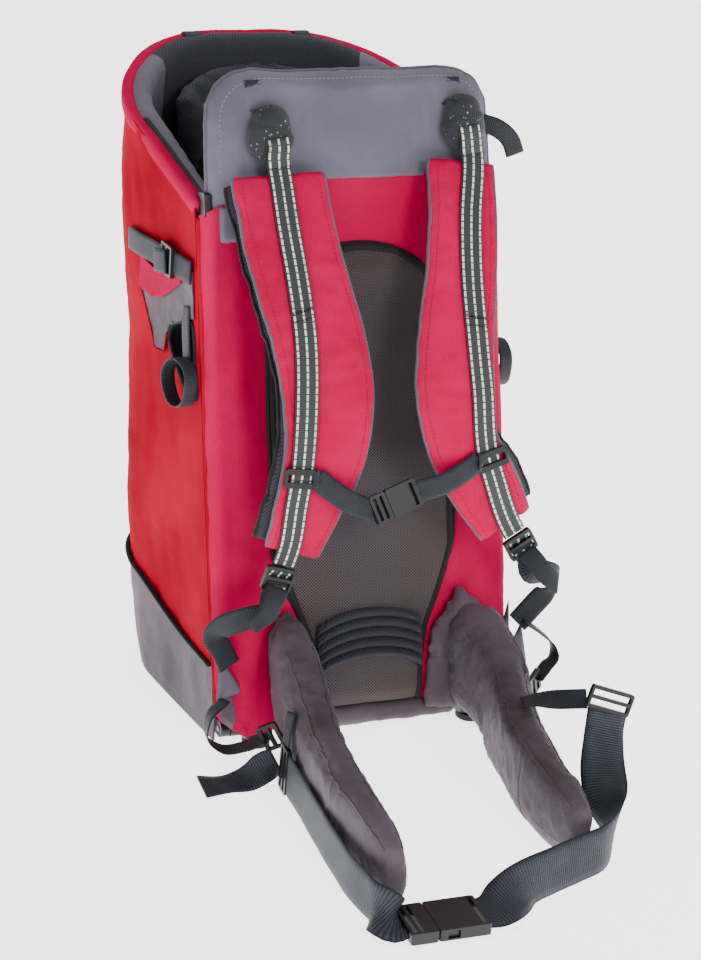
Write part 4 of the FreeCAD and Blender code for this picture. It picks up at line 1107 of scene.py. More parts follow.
def make_back_pad():
    """Mesh pad in the opening, crowned, with black binding round it."""
    rows = []
    top = 519.0
    heights = np.concatenate([np.linspace(37, 440, 62), 440 + (top - 440) * np.sin(np.linspace(0.06, 1, 22) * np.pi / 2)])
    for v in heights:
        half = max(opening_half(v, 1.5), 1.0)
        row = []
        for s in np.linspace(-1, 1, 45):
            s = math.sin(s * math.pi / 2)
            ends = min(1.0, (top - v) / 26.0, (v - 34) / 14.0)
            crown = (max(0.0, 1 - abs(s) ** 5) * max(ends, 0.0)) ** 0.5
            row.append(pack(s * half, 1.5 - 10.5 * crown, v))
        rows.append(row)
    pad = grid("back_pad_mesh", rows, MESH)
    wrinkles(pad, 0.06, 0.0022, seed=21, soft=0.8)
    if pad.data.polygons[0].normal.dot(OUT) < 0:
        flip(pad)
    solid(pad, 0.004)
    tree = surface_of(pad)
    done(pad, replaces=["back_mesh_pad"], slot="black_mesh")
    edge = [(u * 0.965, v - 3) for u, v in even(OPENING, 150)]
    bound = on_surface(tree, [pack(u, -4, v) for u, v in edge], 0.0003)
    done(round_cord("back_pad_binding", bound, 0.0042, BINDING, flat=0.6, normal=tuple(OUT)), slot="black_webbing")


RIDGES = 5
RIDGE_BAND = 54.0           # height of the quilted area
RIDGE_HALF = 59.5


def ridge_low(u):
    """Lower edge of the quilted area, an arch."""
    return 66.5 + 20.0 * max(0.0, 1 - (u / (RIDGE_HALF + 4)) ** 2) ** 0.7


def make_lumbar():
    """Five quilted ridges arching over the small of the back."""
    rows = []
    for q in np.linspace(0, 1, 76):
        row = []
        for u in np.sin(np.linspace(-1, 1, 64) * np.pi / 2) * RIDGE_HALF:
            ends = min(1.0, (RIDGE_HALF - abs(u)) / 7.0) ** 0.5
            edge = min(1.0, q / 0.03, (1 - q) / 0.03)
            ridge = abs(math.sin(math.pi * RIDGES * q)) ** 0.55
            row.append(pack(u, -8.8 - (0.6 + 6.0 * ridge * ends) * edge, ridge_low(u) + RIDGE_BAND * q))
        rows.append(row)
    pad = grid("lumbar_ridges", rows, MESH_DARK)
    wrinkles(pad, 0.03, 0.0007, seed=22, soft=0.8)
    if pad.data.polygons[0].normal.dot(OUT) < 0:
        flip(pad)
    solid(pad, 0.003)
    done(pad, replaces=["lumbar_pad"], slot="black_mesh")


def pillow(name, outline, front, back, mat, rings=10, power=2.6, place=pack):
    """Closed stuffed panel: an outline in the panel's plane with crowned front and back faces."""
    outline = np.array(outline, float)
    centre = outline.mean(axis=0)
    mid = (front + back) / 2
    shells = []
    for t in np.linspace(0.04, 1.0, rings):
        shells.append((t, front + (mid - front) * t ** power))
    for t in np.linspace(1.0, 0.04, rings)[1:]:
        shells.append((t, back + (mid - back) * t ** power))
    loops = [[place(*(centre + (p - centre) * t)[:1], w, (centre + (p - centre) * t)[1]) for p in outline]
             for t, w in shells]
    return loft(name, loops, mat)


def rounded_outline(corners, radii, steps=8):
    """Outline through corners, each rounded by its radius."""
    out = []
    count = len(corners)
    for i in range(count):
        p = np.array(corners[i], float)
        a = unit(np.array(corners[i - 1], float) - p)
        b = unit(np.array(corners[(i + 1) % count], float) - p)
        r = radii[i]
        for t in np.linspace(0, 1, steps):
            start, end = p + a * r, p + b * r
            out.append((1 - t) ** 2 * start + 2 * t * (1 - t) * p + t ** 2 * end)
    return np.array(out)


# padded roots of the belt wings, beside the back pad
ROOTS = {"right": [(58, 24), (104, 13), (150, 22), (156, 116), (106, 160), (68, 112)],
         "left": [(-56, 24), (-104, 14), (-116, 38), (-115, 128), (-92, 150), (-68, 112)]}


def make_hem():
    rings = []
    for u in np.linspace(-104, 104, 56):
        ends = min(1.0, (104 - abs(u)) / 7.0) ** 0.5
        swell = 1 + 0.10 * noise.noise(Vector((u * 0.05, 4.0, 0)))
        ring = []
        for a in np.linspace(0, 2 * math.pi, 18, endpoint=False):
            c, d = math.cos(a), math.sin(a)
            ring.append(pack(u, 7.5 + 12.0 * max(ends, 0.3) * abs(c) ** 0.7 * math.copysign(1, c),
                             24.5 + 11.5 * max(ends, 0.3) * swell * abs(d) ** 0.8 * math.copysign(1, d)))
        rings.append(ring)
    hem = rounder(wrinkles(loft("bottom_hem_roll", rings, TAUPE), 0.03, 0.0016, seed=23))
    done(hem, replaces=["bottom_hem"], slot="grey_fabric")
    for name, outline in ROOTS.items():
        outline = even(rounded_outline(outline, [9] * len(outline), 6), 90)
        root = puffed(pillow("belt_root_" + name, outline, -13.5, -1.0, TAUPE, power=8.0), 0.0045, 0.004, 3.0)
        wrinkles(root, 0.042, 0.0050, stretch=(0.6, 1, 3.4), seed=26, soft=0.75)
        done(root, slot="grey_fabric")


def tuck_under_yoke(obj):
    """Pushes the front of the padded panel back where the red front lies over it."""
    base = pack(0, 0, 0)
    for vert in obj.data.vertices:
        from_base = vert.co - base
        w, v = from_base.dot(AXES[1]) / MM, from_base.dot(UP) / MM
        line = np.interp(abs(vert.co.x - base.x) / MM, (YOKE_HALF, FRONT_HALF), (YOKE_TOP, YOKE_SIDE)) - 3.0
        deep = 7.0 * min(1.0, max(0.0, (line - v) / 3.0 + 0.5))
        if deep and w < deep:
            vert.co += AXES[1] * (deep - w) * MM
    obj.data.update()


def make_head_panel():
    """Padded grey panel round the top of the frame."""
    outline = rounded_outline([(-165, 547), (165, 547), (163, 704), (-163, 704)], [12, 12, 60, 60], 10)
    outline = np.array([p for p in even(np.vstack([outline, outline[:1]]), 120)[:-1]])
    panel = pillow("head_panel_pad", outline, -3.5, 27.0, LILAC, rings=16, power=20.0)
    panel = puffed(panel, 0.0055, 0.006, 3.0)
    tuck_under_yoke(panel)
    wrinkles(panel, 0.034, 0.0013, stretch=(0.8, 1, 5.0), seed=24, soft=0.4)
    wrinkles(panel, 0.07, 0.0020, seed=25, soft=0.8)
    tree = surface_of(panel)
    done(panel, replaces=["head_panel"], slot="grey_fabric")
    inner = np.array([152, 624]) * 0 + outline
    centre = np.array([0.0, 628.0])
    line = centre + (inner - centre) * np.array([0.91, 0.83])
    keep = [pack(u, -6, v) for u, v in line if v > YOKE_TOP]
    row = on_surface(tree, keep, 0.0)
    done(stitches("head_panel_stitches", row, OUT, THREAD, pitch=0.005, size=0.0034), slot="grey_fabric")
    rim = np.vstack([outline, outline[:1]])
    edge = on_surface(tree, [pack(u, 11, v) for u, v in rim[:-1]], 0.0002)
    done(round_cord("head_panel_piping", edge, 0.0022, PIPING, closed=True), slot="grey_fabric")


TAB_U = 106.0
KNOTS = {-1: (-97.0, -17.0, 634.0), 1: (116.0, -17.0, 642.0)}


def make_tabs_and_knots():
    tabs = []
    for side in (-1, 1):
        u = side * TAB_U
        route = [(pack(u, -4.2 - lift, v), (1, 0, 0)) for lift, v in ((0, 688), (1.2, 676), (1.5, 664), (0.6, 652))]
        tabs.append(webbing("tab", route, 26 * MM, 1.9 * MM, WEB))
        for v in (684, 658):
            line = [pack(u + x, -6.4, v) for x in (-11, 11)]
            tabs.append(stitches("tab_stitch", line, OUT, DARK_THREAD, pitch=0.0026, size=0.002))
    route = [(pack(u, w, v), (0.3, 0, 1)) for u, w, v in ((150, 8, 640), (166, 3, 634), (180, 2, 622), (187, 4, 606))]
    tabs.append(webbing("lift_end", route, 20 * MM, 1.8 * MM, WEB))
    done(join("head_panel_tabs", tabs), replaces=["webbing_tabs"], slot="black_webbing")
    for side, name in ((-1, "left"), (1, "right")):
        make_knot(side, name)
    flaps = []
    for side in (-1, 1):
        u = side * 128
        outline = rounded_outline([(u - 22, 526), (u + 22, 526), (u + 22, 564), (u - 22, 564)], [5] * 4, 5)
        flaps.append(pillow("flap", outline, -4.4, -0.2, LILAC, rings=5, power=8.0))
    done(join("anchor_flaps", flaps), replaces=["strap_anchors"], slot="grey_fabric")


KNOT_HALF, KNOT_DEEP, KNOT_TALL = 24.0, 13.0, 29.0


def make_knot(side, name):
    """Webbing tied in a ball: a wide turn round the lower half lies over a slanting turn above it."""
    centre = pack(*KNOTS[side])
    verts, uvs = [], []
    tall, round_steps = 40, 56
    for i in range(tall + 1):
        rise = -1.0 + 2.0 * i / tall
        ring, uv = [], []
        for j in range(round_steps):
            a = 2 * math.pi * j / round_steps
            edge = 0.10 + 0.16 * math.sin(a + 1.2 * side)
            lower = 1.0 / (1.0 + math.exp((rise - edge) * 34.0))
            second = 1.0 / (1.0 + math.exp((rise + 0.55 - 0.2 * math.cos(a)) * 30.0))
            swell = (max(1 - abs(rise) ** 3.2, 0.0) ** 0.5) * (0.88 + 0.12 * lower - 0.09 * second)
            swell *= 1.0 + 0.03 * noise.noise(Vector((math.cos(a) * 1.7, rise * 2.4, math.sin(a) * 1.7 + side)))
            across, deep = math.cos(a) * KNOT_HALF * swell, math.sin(a) * KNOT_DEEP * swell
            ring.append(centre + Vector((1, 0, 0)) * across * MM + OUT * deep * MM + UP * rise * KNOT_TALL * MM)
            turn = 0.45 * side * (1 - lower) - 0.12 * side
            run, up = a * KNOT_HALF * MM, rise * KNOT_TALL * MM
            uv.append((up * math.cos(turn) - run * math.sin(turn), run * math.cos(turn) + up * math.sin(turn)))
        verts.append(ring)
        uvs.append(uv)
    parts = [loft("ball", verts, FLECK, uvs=uvs)]
    across = np.array((1.0, 0, 0))
    tip = [(centre + Vector(across) * x * MM + UP * v * MM + OUT * w * MM, across) for x, v, w in
           ((2, -5, 12.6), (3, -14, 13.6), (3 + side, -24, 13), (4 + side, -33, 12))]
    parts.append(webbing("end", tip, 24 * MM, 2.2 * MM, REFLECT))
    lead = [(pack(side * TAB_U, -5.5, 658), across), (centre + UP * 0.022 + OUT * 0.004, across), (centre, across)]
    parts.append(webbing("lead", lead, 25 * MM, 2.2 * MM, WEB))
    done(join("strap_knot_wound_" + name, parts), replaces=["strap_knot_" + name], slot="black_webbing")


# ---- shoulder harness ----
STRAP_LINE = {
    -1: [(-94, -24, 592, 98), (-92, -42, 540, 98), (-84, -61, 480, 97), (-74, -75, 425, 96),
         (-70, -83, 365, 94), (-76, -82, 310, 84), (-92, -74, 260, 70), (-106, -62, 216, 58)],
    1: [(109.5, -24, 600, 71), (102, -43, 545, 72), (89.5, -62, 485, 75), (76, -76, 425, 80),
        (70, -84, 365, 84), (80, -82, 310, 74), (108, -74, 264, 70), (134, -62, 224, 58)]}
WEB_OFFSET = {-1: [1, -1, -7, -17, -25, -24, -15, -6], 1: [12.5, 7, 10.5, 22, 29, 23, 10, 4]}
KNOT_REACH, LOCK_REACH, LOCK_LENGTH = 12.0, 14.0, 26.0
FACE_T, PAD_T, WEB_W, WEB_T = 5.0, 15.0, 25.0, 1.8
LAYER_GAP, PAD_GAP = 1.3, 2.4


def strap_line(side, count, reach=True):
    """Stations of a strap in pack millimetres: centre, across, height direction, width, webbing offset."""
    rows = [list(row[:3]) + [row[3], off] for row, off in zip(STRAP_LINE[side], WEB_OFFSET[side])]
    rows = np.array(rows, float)
    if reach:
        up = unit(rows[0, :3] - rows[1, :3])
        down = unit(rows[-1, :3] - rows[-2, :3])
        first, last = rows[0].copy(), rows[-1].copy()
        first[:3] += up * KNOT_REACH
        last[:3] += down * LOCK_REACH
        rows = np.vstack([first, rows, last])
    rows = resample(rows, count)
    centre, way = rows[:, :3], tangents(rows[:, :3])
    across = np.array([1.0, 0, 0]) - way * way[:, :1]
    across = unit(across)
    return centre, across, -np.cross(across, way), rows[:, 3], rows[:, 4]


def strap_point(centre, across, height, s, h):
    return pack(*(centre + across * s + height * h))


def cover_height(s, half, off):
    """Height of the red face over its middle line: puffed on both sides of the webbing."""
    edge = max(0.0, 1 - (abs(s) / half) ** 4) ** 0.5
    gap = max(0.0, abs(s - off) - WEB_W / 2)
    puff = 3.2 * (1 - math.exp(-(gap / 8.0) ** 2))
    return 0.2 + edge * (2.4 + puff)


def make_strap(side, name):
    centre, across, height, width, off = strap_line(side, 92, reach=False)
    rings = []
    for i in range(len(centre)):
        half = width[i] / 2 + 0.6
        ends = min(1.0, (i + 1.5) / 4, (len(centre) - i + 0.5) / 4) ** 0.5
        ring = []
        for s in np.sin(np.linspace(-1, 1, 27) * np.pi / 2) * half:
            ring.append(strap_point(centre[i], across[i], height[i], s * (0.9 + 0.1 * ends),
                                    cover_height(s, half, off[i]) * ends))
        for s in np.sin(np.linspace(1, -1, 13)[1:-1] * np.pi / 2) * half:
            ring.append(strap_point(centre[i], across[i], height[i], s * (0.9 + 0.1 * ends),
                                    -2.6 * ends * max(0.1, 1 - (abs(s) / half) ** 6)))
        rings.append(ring)
    cover = loft("shoulder_strap_cover_" + name, rings, RED)

    def off_web(p):
        return 1.0 if web_gap(p, side) > 0.016 else 0.15

    wrinkles(cover, 0.045, 0.0022, stretch=(1.6, 1, 0.8), seed=30 + side, soft=0.55, where=off_web)
    wrinkles(cover, 0.018, 0.0007, stretch=(1.6, 1, 0.8), seed=33 + side, soft=0.4, where=off_web)
    tree = surface_of(cover)
    done(cover, "harness", ["shoulder_strap_" + name])
    for edge_side, where in ((-1, "inner" if side > 0 else "outer"), (1, "outer" if side > 0 else "inner")):
        edge = [strap_point(centre[i], across[i], height[i], edge_side * (width[i] / 2 + 0.8), -0.4)
                for i in range(len(centre))]
        edge = on_surface(tree, edge, 0.0002)
        done(round_cord("strap_piping_%s_%s" % (name, where), edge, 0.0021, PIPING), "harness", slot="grey_fabric")
        row = [strap_point(centre[i], across[i], height[i], edge_side * (width[i] / 2 - 6.5), 6)
               for i in range(2, len(centre) - 2)]
        row = on_surface(tree, row, 0.0)
        done(stitches("strap_stitches_%s_%s" % (name, where), row, OUT, RED_THREAD), "harness")
    make_strap_pad(side, name)


WEB_PATH = {}


def web_gap(p, side):
    """Distance from a point to the middle of the strap's webbing."""
    gaps = WEB_PATH[side] - np.array(p)
    return math.sqrt(np.min(np.einsum("ij,ij->i", gaps, gaps)))


def strap_web_route(side, count=70):
    centre, across, height, _, off = strap_line(side, count)
    lift = (FACE_T + WEB_T) / 2 + LAYER_GAP
    points = [strap_point(centre[i], across[i], height[i], off[i], lift) for i in range(count)]
    ways = [pack_way(*across[i]) for i in range(count)]
    return list(zip(points, ways))


def make_strap_pad(side, name):
    """Black mesh cushion under the red face, standing out past its outer edge."""
    centre, across, height, width, _ = strap_line(side, 40, reach=False)
    shift = resample([[i * 60.0, 0, 0, v] for i, v in enumerate([6, 6, 6, 6, 6, 9, 11, 10])], 40)[:, 3] * side
    depth = (FACE_T + PAD_T) / 2 + PAD_GAP
    rings = []
    for i in range(len(centre)):
        half = width[i] / 2 + 3 - 1.5
        ring = []
        for a in np.linspace(0, 2 * math.pi, 28, endpoint=False):
            c, d = math.cos(a), math.sin(a)
            s = math.copysign(abs(c) ** 0.45, c) * half
            h = math.copysign(abs(d) ** 0.6, d) * (PAD_T / 2 - 1.2)
            ring.append(strap_point(centre[i], across[i], height[i], s + shift[i], h - depth))
        rings.append(ring)
    pad = puffed(loft("shoulder_pad_mesh_" + name, rings, MESH_DARK), 0.0055, 0.004, 3.0)
    wrinkles(pad, 0.04, 0.0014, seed=36 + side, soft=0.7)
    tree = surface_of(pad)
    done(pad, "harness", ["shoulder_pad_" + name], slot="black_mesh")
    for edge_side in (-1, 1):
        seam = [strap_point(centre[i], across[i], height[i], edge_side * (width[i] / 2 + 6) + shift[i], -depth)
                for i in range(len(centre))]
        seam = on_surface(tree, seam, 0.0003)
        done(round_cord("pad_binding_%s_%s" % (name, "right" if edge_side > 0 else "left"), seam, 0.0024, BINDING,
                        flat=0.8), "harness", slot="black_webbing")


def make_harness():
    bands = []
    for side in (-1, 1):
        route = strap_web_route(side)
        WEB_PATH[side] = np.array([p for p, _ in route])
        bands.append(webbing("band", route, WEB_W * MM, WEB_T * MM, REFLECT))
        # bar tack across the webbing half way down
        k = int(len(route) * (0.36 if side < 0 else 0.40))
        for row in range(3):
            point, way = route[k + row // 2]
            ahead = (route[k + 1][0] - route[k][0]).normalized()
            line = [point + OUT * 0.0012 + ahead * 0.0016 * row + way * x * MM for x in (-11.5, 11.5)]
            bands.append(stitches("tack", line, OUT, DARK_THREAD, pitch=0.0022, size=0.0019, radius=0.0007))
    done(join("strap_bands", bands), "harness", ["strap_webbing"], slot="reflective_webbing")
    for side, name in ((-1, "left"), (1, "right")):
        make_strap(side, name)


def web_end(side):
    """End of the strap webbing: last point and downward direction, in pack millimetres."""
    rows = np.array([list(row[:3]) for row in STRAP_LINE[side]], float)
    up = unit(rows[0] - rows[1])
    down = unit(rows[-1] - rows[-2])
    rows = np.vstack([rows[0] + up * KNOT_REACH, rows, rows[-1] + down * LOCK_REACH])
    offs = [WEB_OFFSET[side][0]] + WEB_OFFSET[side] + [WEB_OFFSET[side][-1]]
    out = []
    lift = (FACE_T + WEB_T) / 2 + LAYER_GAP
    for i in (6, 7, 8, 9):
        way = unit(rows[min(i + 1, 9)] - rows[i - 1])
        across = unit(np.array([1.0, 0, 0]) - way * way[0])
        out.append(rows[i] + across * offs[i] - np.cross(across, way) * lift)
    return out


def lock_frame(side):
    points = web_end(side)
    down = unit(points[-1] - points[-2])
    return points[-1] + down * (LOCK_LENGTH / 2 + 3.0), down


def slider_place(side):
    points = web_end(side)
    a, b = points[0], points[1]
    return a + (b - a) * 0.42, unit(b - a)


LOWER_ROUTES = {
    -1: [(-130, -55, 156), (-152, -49, 150), (-172, -37, 142), (-178, -23, 130), (-167, -14, 112), (-158, -11, 94)],
    1: [(166, -56, 170), (187, -48, 166), (206, -36, 156), (206, -21, 142), (190, -13, 123), (172, -11, 106)]}
TURNING = [(1, 0, 0), (1, 0, -0.1), (0.5, 0.1, -0.85), (0.1, 0.15, -1), (0.3, 0.1, -0.95), (0.8, 0.3, -0.5),
           (0.9, 0.2, 0.35), (0.85, 0.1, 0.45)]


def threaded(name, centre, along, front, width, look, body):
    """Short run of webbing over the middle bar of an adjuster, filling its slots."""
    along, front = Vector(along).normalized(), Vector(front).normalized()
    across = along.cross(front)
    route = [(centre + along * a * MM + front * f * MM, across) for a, f in
             ((-12.0, -0.6), (-8.0, -0.4), (-4.5, 2.2), (0.0, 3.8), (4.5, 2.2), (8.0, -0.4), (12.0, -0.6))]
    done(webbing(name, route, width * MM, 1.6 * MM, look, count=26), body, slot="black_webbing")


def make_lower_webbing():
    parts = []
    for side, name in ((-1, "left"), (1, "right")):
        centre, down = lock_frame(side)
        along = pack_way(*down)
        side_way = Vector((1, 0, 0)) - along * along.x
        threaded("lock_web_" + name, pack(*centre), along, side_way.cross(along) * 1.0, WEB_W, REFLECT,
                 "lower_lock_" + name)
    for side in (-1, 1):
        centre, down = lock_frame(side)
        start = centre + down * (LOCK_LENGTH / 2 - 4.0)
        route = [start - down * 6.0, start + down * 12.0] + [np.array(p, float) for p in LOWER_ROUTES[side]]
        ways = [pack_way(u, w * -side, v * -side) for u, w, v in TURNING]
        parts.append(webbing("loop", [(pack(*p), way) for p, way in zip(route, ways)], WEB_W * MM, WEB_T * MM, WEB,
                             wave=0.0012, seed=40 + side))
        tail_start = centre + down * 8.0
        out = np.array([side * 0.55, -0.25, -0.8])
        tail = [tail_start + np.array([0, -6.0, 0]), tail_start + unit(out) * 14 + np.array([0, -9.0, 0]),
                tail_start + unit(out) * 34 + np.array([0, -8.0, 0]),
                tail_start + unit(out) * 52 + np.array([side * 4, -2.0, 4])]
        tail_ways = [pack_way(1, 0, 0), pack_way(0.95, 0.2, 0.2 * side), pack_way(0.85, 0.4, 0.35 * side),
                     pack_way(0.7, 0.55, 0.4 * side)]
        parts.append(webbing("tail", [(pack(*p), way) for p, way in zip(tail, tail_ways)], WEB_W * MM, WEB_T * MM, WEB,
                             wave=0.0010, seed=42 + side))
    band = join("lower_adjuster_webbing", parts)
    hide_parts("lower_webbing")
    pack(0, -56, 172)
    pack(0, -18, 112)
    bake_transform(band)


# ---- chest strap ----
BUCKLE = np.array([-14.0, -98.0, 261.0])
BUCKLE_WAY = unit(np.array([1.0, 0.0, 0.34]))


def make_sternum():
    for side, name in ((-1, "left"), (1, "right")):
        centre, _ = slider_place(side)
        start = centre + np.array([-side * (WEB_W / 2 + 3.0), -3.0, -1.0])
        end = BUCKLE + BUCKLE_WAY * (32.0 if side > 0 else -17.0)
        mid = (start + end) * 0.5 + np.array([0, -2.0, -5.0])
        square = (-BUCKLE_WAY[2], 0, BUCKLE_WAY[0])
        route = [(start, (0.05, 0, 1)), (start + (mid - start) * 0.45 + np.array([0, -1.0, -1.0]), (0, 0, 1)),
                 (mid, (-0.2, 0, 1)), (end, square)]
        band = webbing("chest_strap_" + name, [(pack(*p), pack_way(*w)) for p, w in route], (WEB_W - 2) * MM,
                       WEB_T * MM, WEB, wave=0.0012, seed=50 + side, count=40)
        wrap = []
        for k in range(15):
            a = math.pi * (0.5 + k / 14.0)
            wrap.append((pack(*(centre + np.array([-side * (WEB_W / 2 + 3.5) + side * 4.2 * math.cos(a) * -1,
                                                   -2.6 - 3.6 * math.sin(a), -1.0]))), pack_way(0, 0, 1)))
        loop = webbing("wrap", wrap, (WEB_W - 6) * MM, 1.6 * MM, WEB, count=30)
        band = join("chest_strap_" + name, [band, loop])
        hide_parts("sternum_webbing_" + name)
        if side > 0:
            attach(band, "sternum")
        else:
            pack(-78, 0, 0)
            pack(-12, 0, 0)
            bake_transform(band)


# ---- hip belt ----
WING_LINE = {
    -1: [(-122.5, -92, 16, 142, 44, 0), (-138, -94, 12, 130, 42, 0), (-160, -97.5, 4, 118, 38, 0),
         (-205, -103, 1.0, 102, 38, -2), (-260, -110, 0.8, 96, 36, -4), (-320, -115, 0.8, 92, 36, -7),
         (-372, -115, 0.8, 88, 34, -10), (-410, -112, 2, 80, 32, -12), (-434, -109, 8, 66, 22, -10)],
    1: [(-122.5, 118, 16, 134, 72, 2), (-136, 123, 12, 128, 58, 3), (-160, 126, 4, 114, 44, 4),
        (-205, 114, 1.0, 102, 40, 4), (-255, 103, 0.8, 96, 38, 3), (-305, 95, 0.8, 92, 38, 2),
        (-350, 91, 0.8, 88, 36, 0), (-384, 93, 2, 80, 34, 0), (-408, 96, 8, 66, 24, 0)]}


def wing_rows(side, count):
    rows = [[x, y, 0.0, low, high, thick, slant] for y, x, low, high, thick, slant in WING_LINE[side]]
    return resample(rows, count)


WING_POCKETS = ((0.36, 0.22), (0.62, 0.74))    # where the curved seams start and end along a wing


def make_wing(side, name):
    rings = []
    rows = wing_rows(side, 52)
    for i, (x, y, _, low, high, thick, slant) in enumerate(rows):
        follow = math.tan(LEAN) * max(0.0, 1 - i / 6.0)
        mid, half = (low + high) / 2, (high - low) / 2 - 1.5
        ring = []
        for a in np.linspace(0, 2 * math.pi, 36, endpoint=False):
            c, d = math.cos(a), math.sin(a)
            across = math.copysign(abs(c) ** 0.75, c) * (thick / 2 - 1.5)
            share = math.copysign(abs(d) ** 0.55, d)
            height = max(mid + half * share, 1.0)
            ring.append(standing(x + slant * share / 2 + across, y + follow * height, height))
        rings.append(ring)
    wing = puffed(loft("hip_wing_pad_" + name, rings, TAUPE), 0.005, 0.005, 3.5)
    wrinkles(wing, 0.050, 0.0030, stretch=(1, 1.0, 1.4), seed=60 + side, soft=0.6, where=wing_hold)
    wrinkles(wing, 0.020, 0.0011, stretch=(1, 1.0, 1.6), seed=63 + side, soft=0.35, where=wing_hold)
    press_floor(wing, 0.0009)
    tree = surface_of(wing)
    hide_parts("hip_wing_" + name)
    extra = []
    for place, where in ((0.93, "top"), (-0.45, "low")):
        for face in (-1, 1):
            line = []
            for x, y, _, low, high, thick, slant in rows[1:-1]:
                mid, half = (low + high) / 2, (high - low) / 2
                line.append(standing(x + slant * place / 2 + face * (thick / 2 + 4), y, mid + half * place))
            line = on_surface(tree, line, 0.0)
            if where == "top":
                extra.append(round_cord("wing_seam_%s_%s_%d" % (name, where, face), line, 0.0009, TAUPE))
            else:
                away = [Vector((face, 0, 0.2))] * len(line)
                extra.append(stitches("wing_stitch_%s_%s_%d" % (name, where, face), line, away, THREAD))
    for first, last in WING_POCKETS:
        line = []
        for t in np.linspace(0, 1, 36):
            k = (first + (last - first) * t) * (len(rows) - 1)
            x, y, _, low, high, thick, slant = rows[int(k)] + (rows[min(int(k) + 1, len(rows) - 1)] - rows[int(k)]) * (k % 1)
            share = 0.86 - 1.6 * math.sin(math.pi * 0.5 * t) ** 1.6
            mid, half = (low + high) / 2, (high - low) / 2
            line.append(standing(x + slant * share / 2 - (thick / 2 + 6), y, mid + half * share))
        extra.append(round_cord("wing_pocket_seam", on_surface(tree, line, -0.0003), 0.0008, TAUPE))
    trim = join("hip_wing_trim_" + name, extra)
    for obj in (wing, trim):
        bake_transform(obj)


def wing_hold(p):
    return min(1.0, max(0.0, (p.z - 0.004) / 0.02))


def press_floor(obj, z):
    """Nothing of the piece goes below a height."""
    for vert in obj.data.vertices:
        if vert.co.z < z:
            vert.co.z = z
    obj.data.update()


HIP_ROUTES = {
    -1: [((-134, -210, 27), (0, 0, 1)), ((-137, -262, 26), (0, 0, 1)), ((-142, -320, 26), (0, 0, 1)),
         ((-145, -370, 26), (0, 0, 1)), ((-146, -405, 26), (0, 0, 1)), ((-144, -430, 26), (0, 0, 1)),
         ((-141, -447, 25), (0, 0, 1)), ((-136, -459, 21), (0.35, 0.35, 0.87)),
         ((-130, -465.5, 14), (0.35, 0.75, 0.5)), ((-119, -468, 9.2), (-0.04, 1, 0))],
    1: [((-42, -471, 9.4), (0.04, 1, 0)), ((-26, -470, 11.5), (0, 1, 0.2)), ((-10, -464, 18), (-0.2, 0.8, 0.6)),
        ((12, -455, 25), (-0.1, 0.4, 0.9)), ((45, -443, 26), (0, 0.3, 1)), ((82, -431, 27), (0, 0.3, 1)),
        ((114, -420, 28), (0, 0.2, 1)), ((136, -399, 30), (0.15, 0.1, 1)), ((147, -374, 35), (0.4, 0, 0.9)),
        ((151, -350, 44), (0.75, 0, 0.6)), ((156, -330, 60), (0.9, 0, 0.25)), ((163, -313, 79), (0.95, 0, -0.1)),
        ((168, -303, 93), (0.93, -0.05, -0.3)), ((172, -298, 106), (0.93, -0.1, -0.33))]}
TAIL = [((-134, -178, 26), (0, 0.1, 1)), ((-147, -178, 19), (0, 0.6, 0.8)), ((-160, -177, 10), (0, 1, 0.4)),
        ((-180, -174, 4.0), (0.1, 1, 0.0)), ((-210, -171, 2.0), (0.1, 1, 0))]
BELT_WEB = 46.0


def belt_band(name, route, width, seed):
    return webbing(name, [(standing(*p), Vector(way)) for p, way in route], width, 2.0 * MM, WIDE_WEB,
                   wave=0.0011, seed=seed)


def make_belt():
    left = belt_band("belt_webbing_left", HIP_ROUTES[-1], BELT_WEB * MM, 70)
    press_floor(left, 0.0008)
    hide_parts("hip_webbing_left")
    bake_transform(left)
    tail = belt_band("belt_webbing_tail", TAIL, [30 * MM, 32 * MM, 34 * MM, 36 * MM, 44 * MM], 71)
    press_floor(tail, 0.0006)
    done(tail, "hip_belt", slot="black_webbing")
    right = belt_band("belt_webbing_right", HIP_ROUTES[1], BELT_WEB * MM, 72)
    press_floor(right, 0.0008)
    done(right, "hip_belt", ["hip_webbing_right"], slot="black_webbing")
    links = [webbing("link", [(standing(-132.5, -196, 50), (0, 1, 0.2)), (standing(-130, -192, 66), (0, 1, 0.2)),
                              (standing(-125, -186, 84), (0, 1, 0.2))], 16 * MM, 1.6 * MM, WEB),
             webbing("link", [(standing(101, -247, 98), (0.3, 0.95, 0)), (standing(118, -252, 101.5), (0.3, 0.9, 0.3)),
                              (standing(134, -266, 107), (0.1, 0.6, 0.75)), (standing(152, -288, 117), (0, 0.42, 0.9))],
                     20 * MM, 1.6 * MM, WEB)]
    done(join("wing_link_bands", links), "hip_belt", ["wing_links"], slot="black_webbing")


STABILISER = {
    -1: [(-164, -104, 60), (-184, -112, 46), (-188, -122, 28), (-174, -130, 18), (-154, -140, 24), (-134, -152, 38)],
    1: [(176, -99, 110), (192, -105, 100), (206, -112, 86), (204, -121, 76), (192, -130, 70), (174, -143, 61)]}


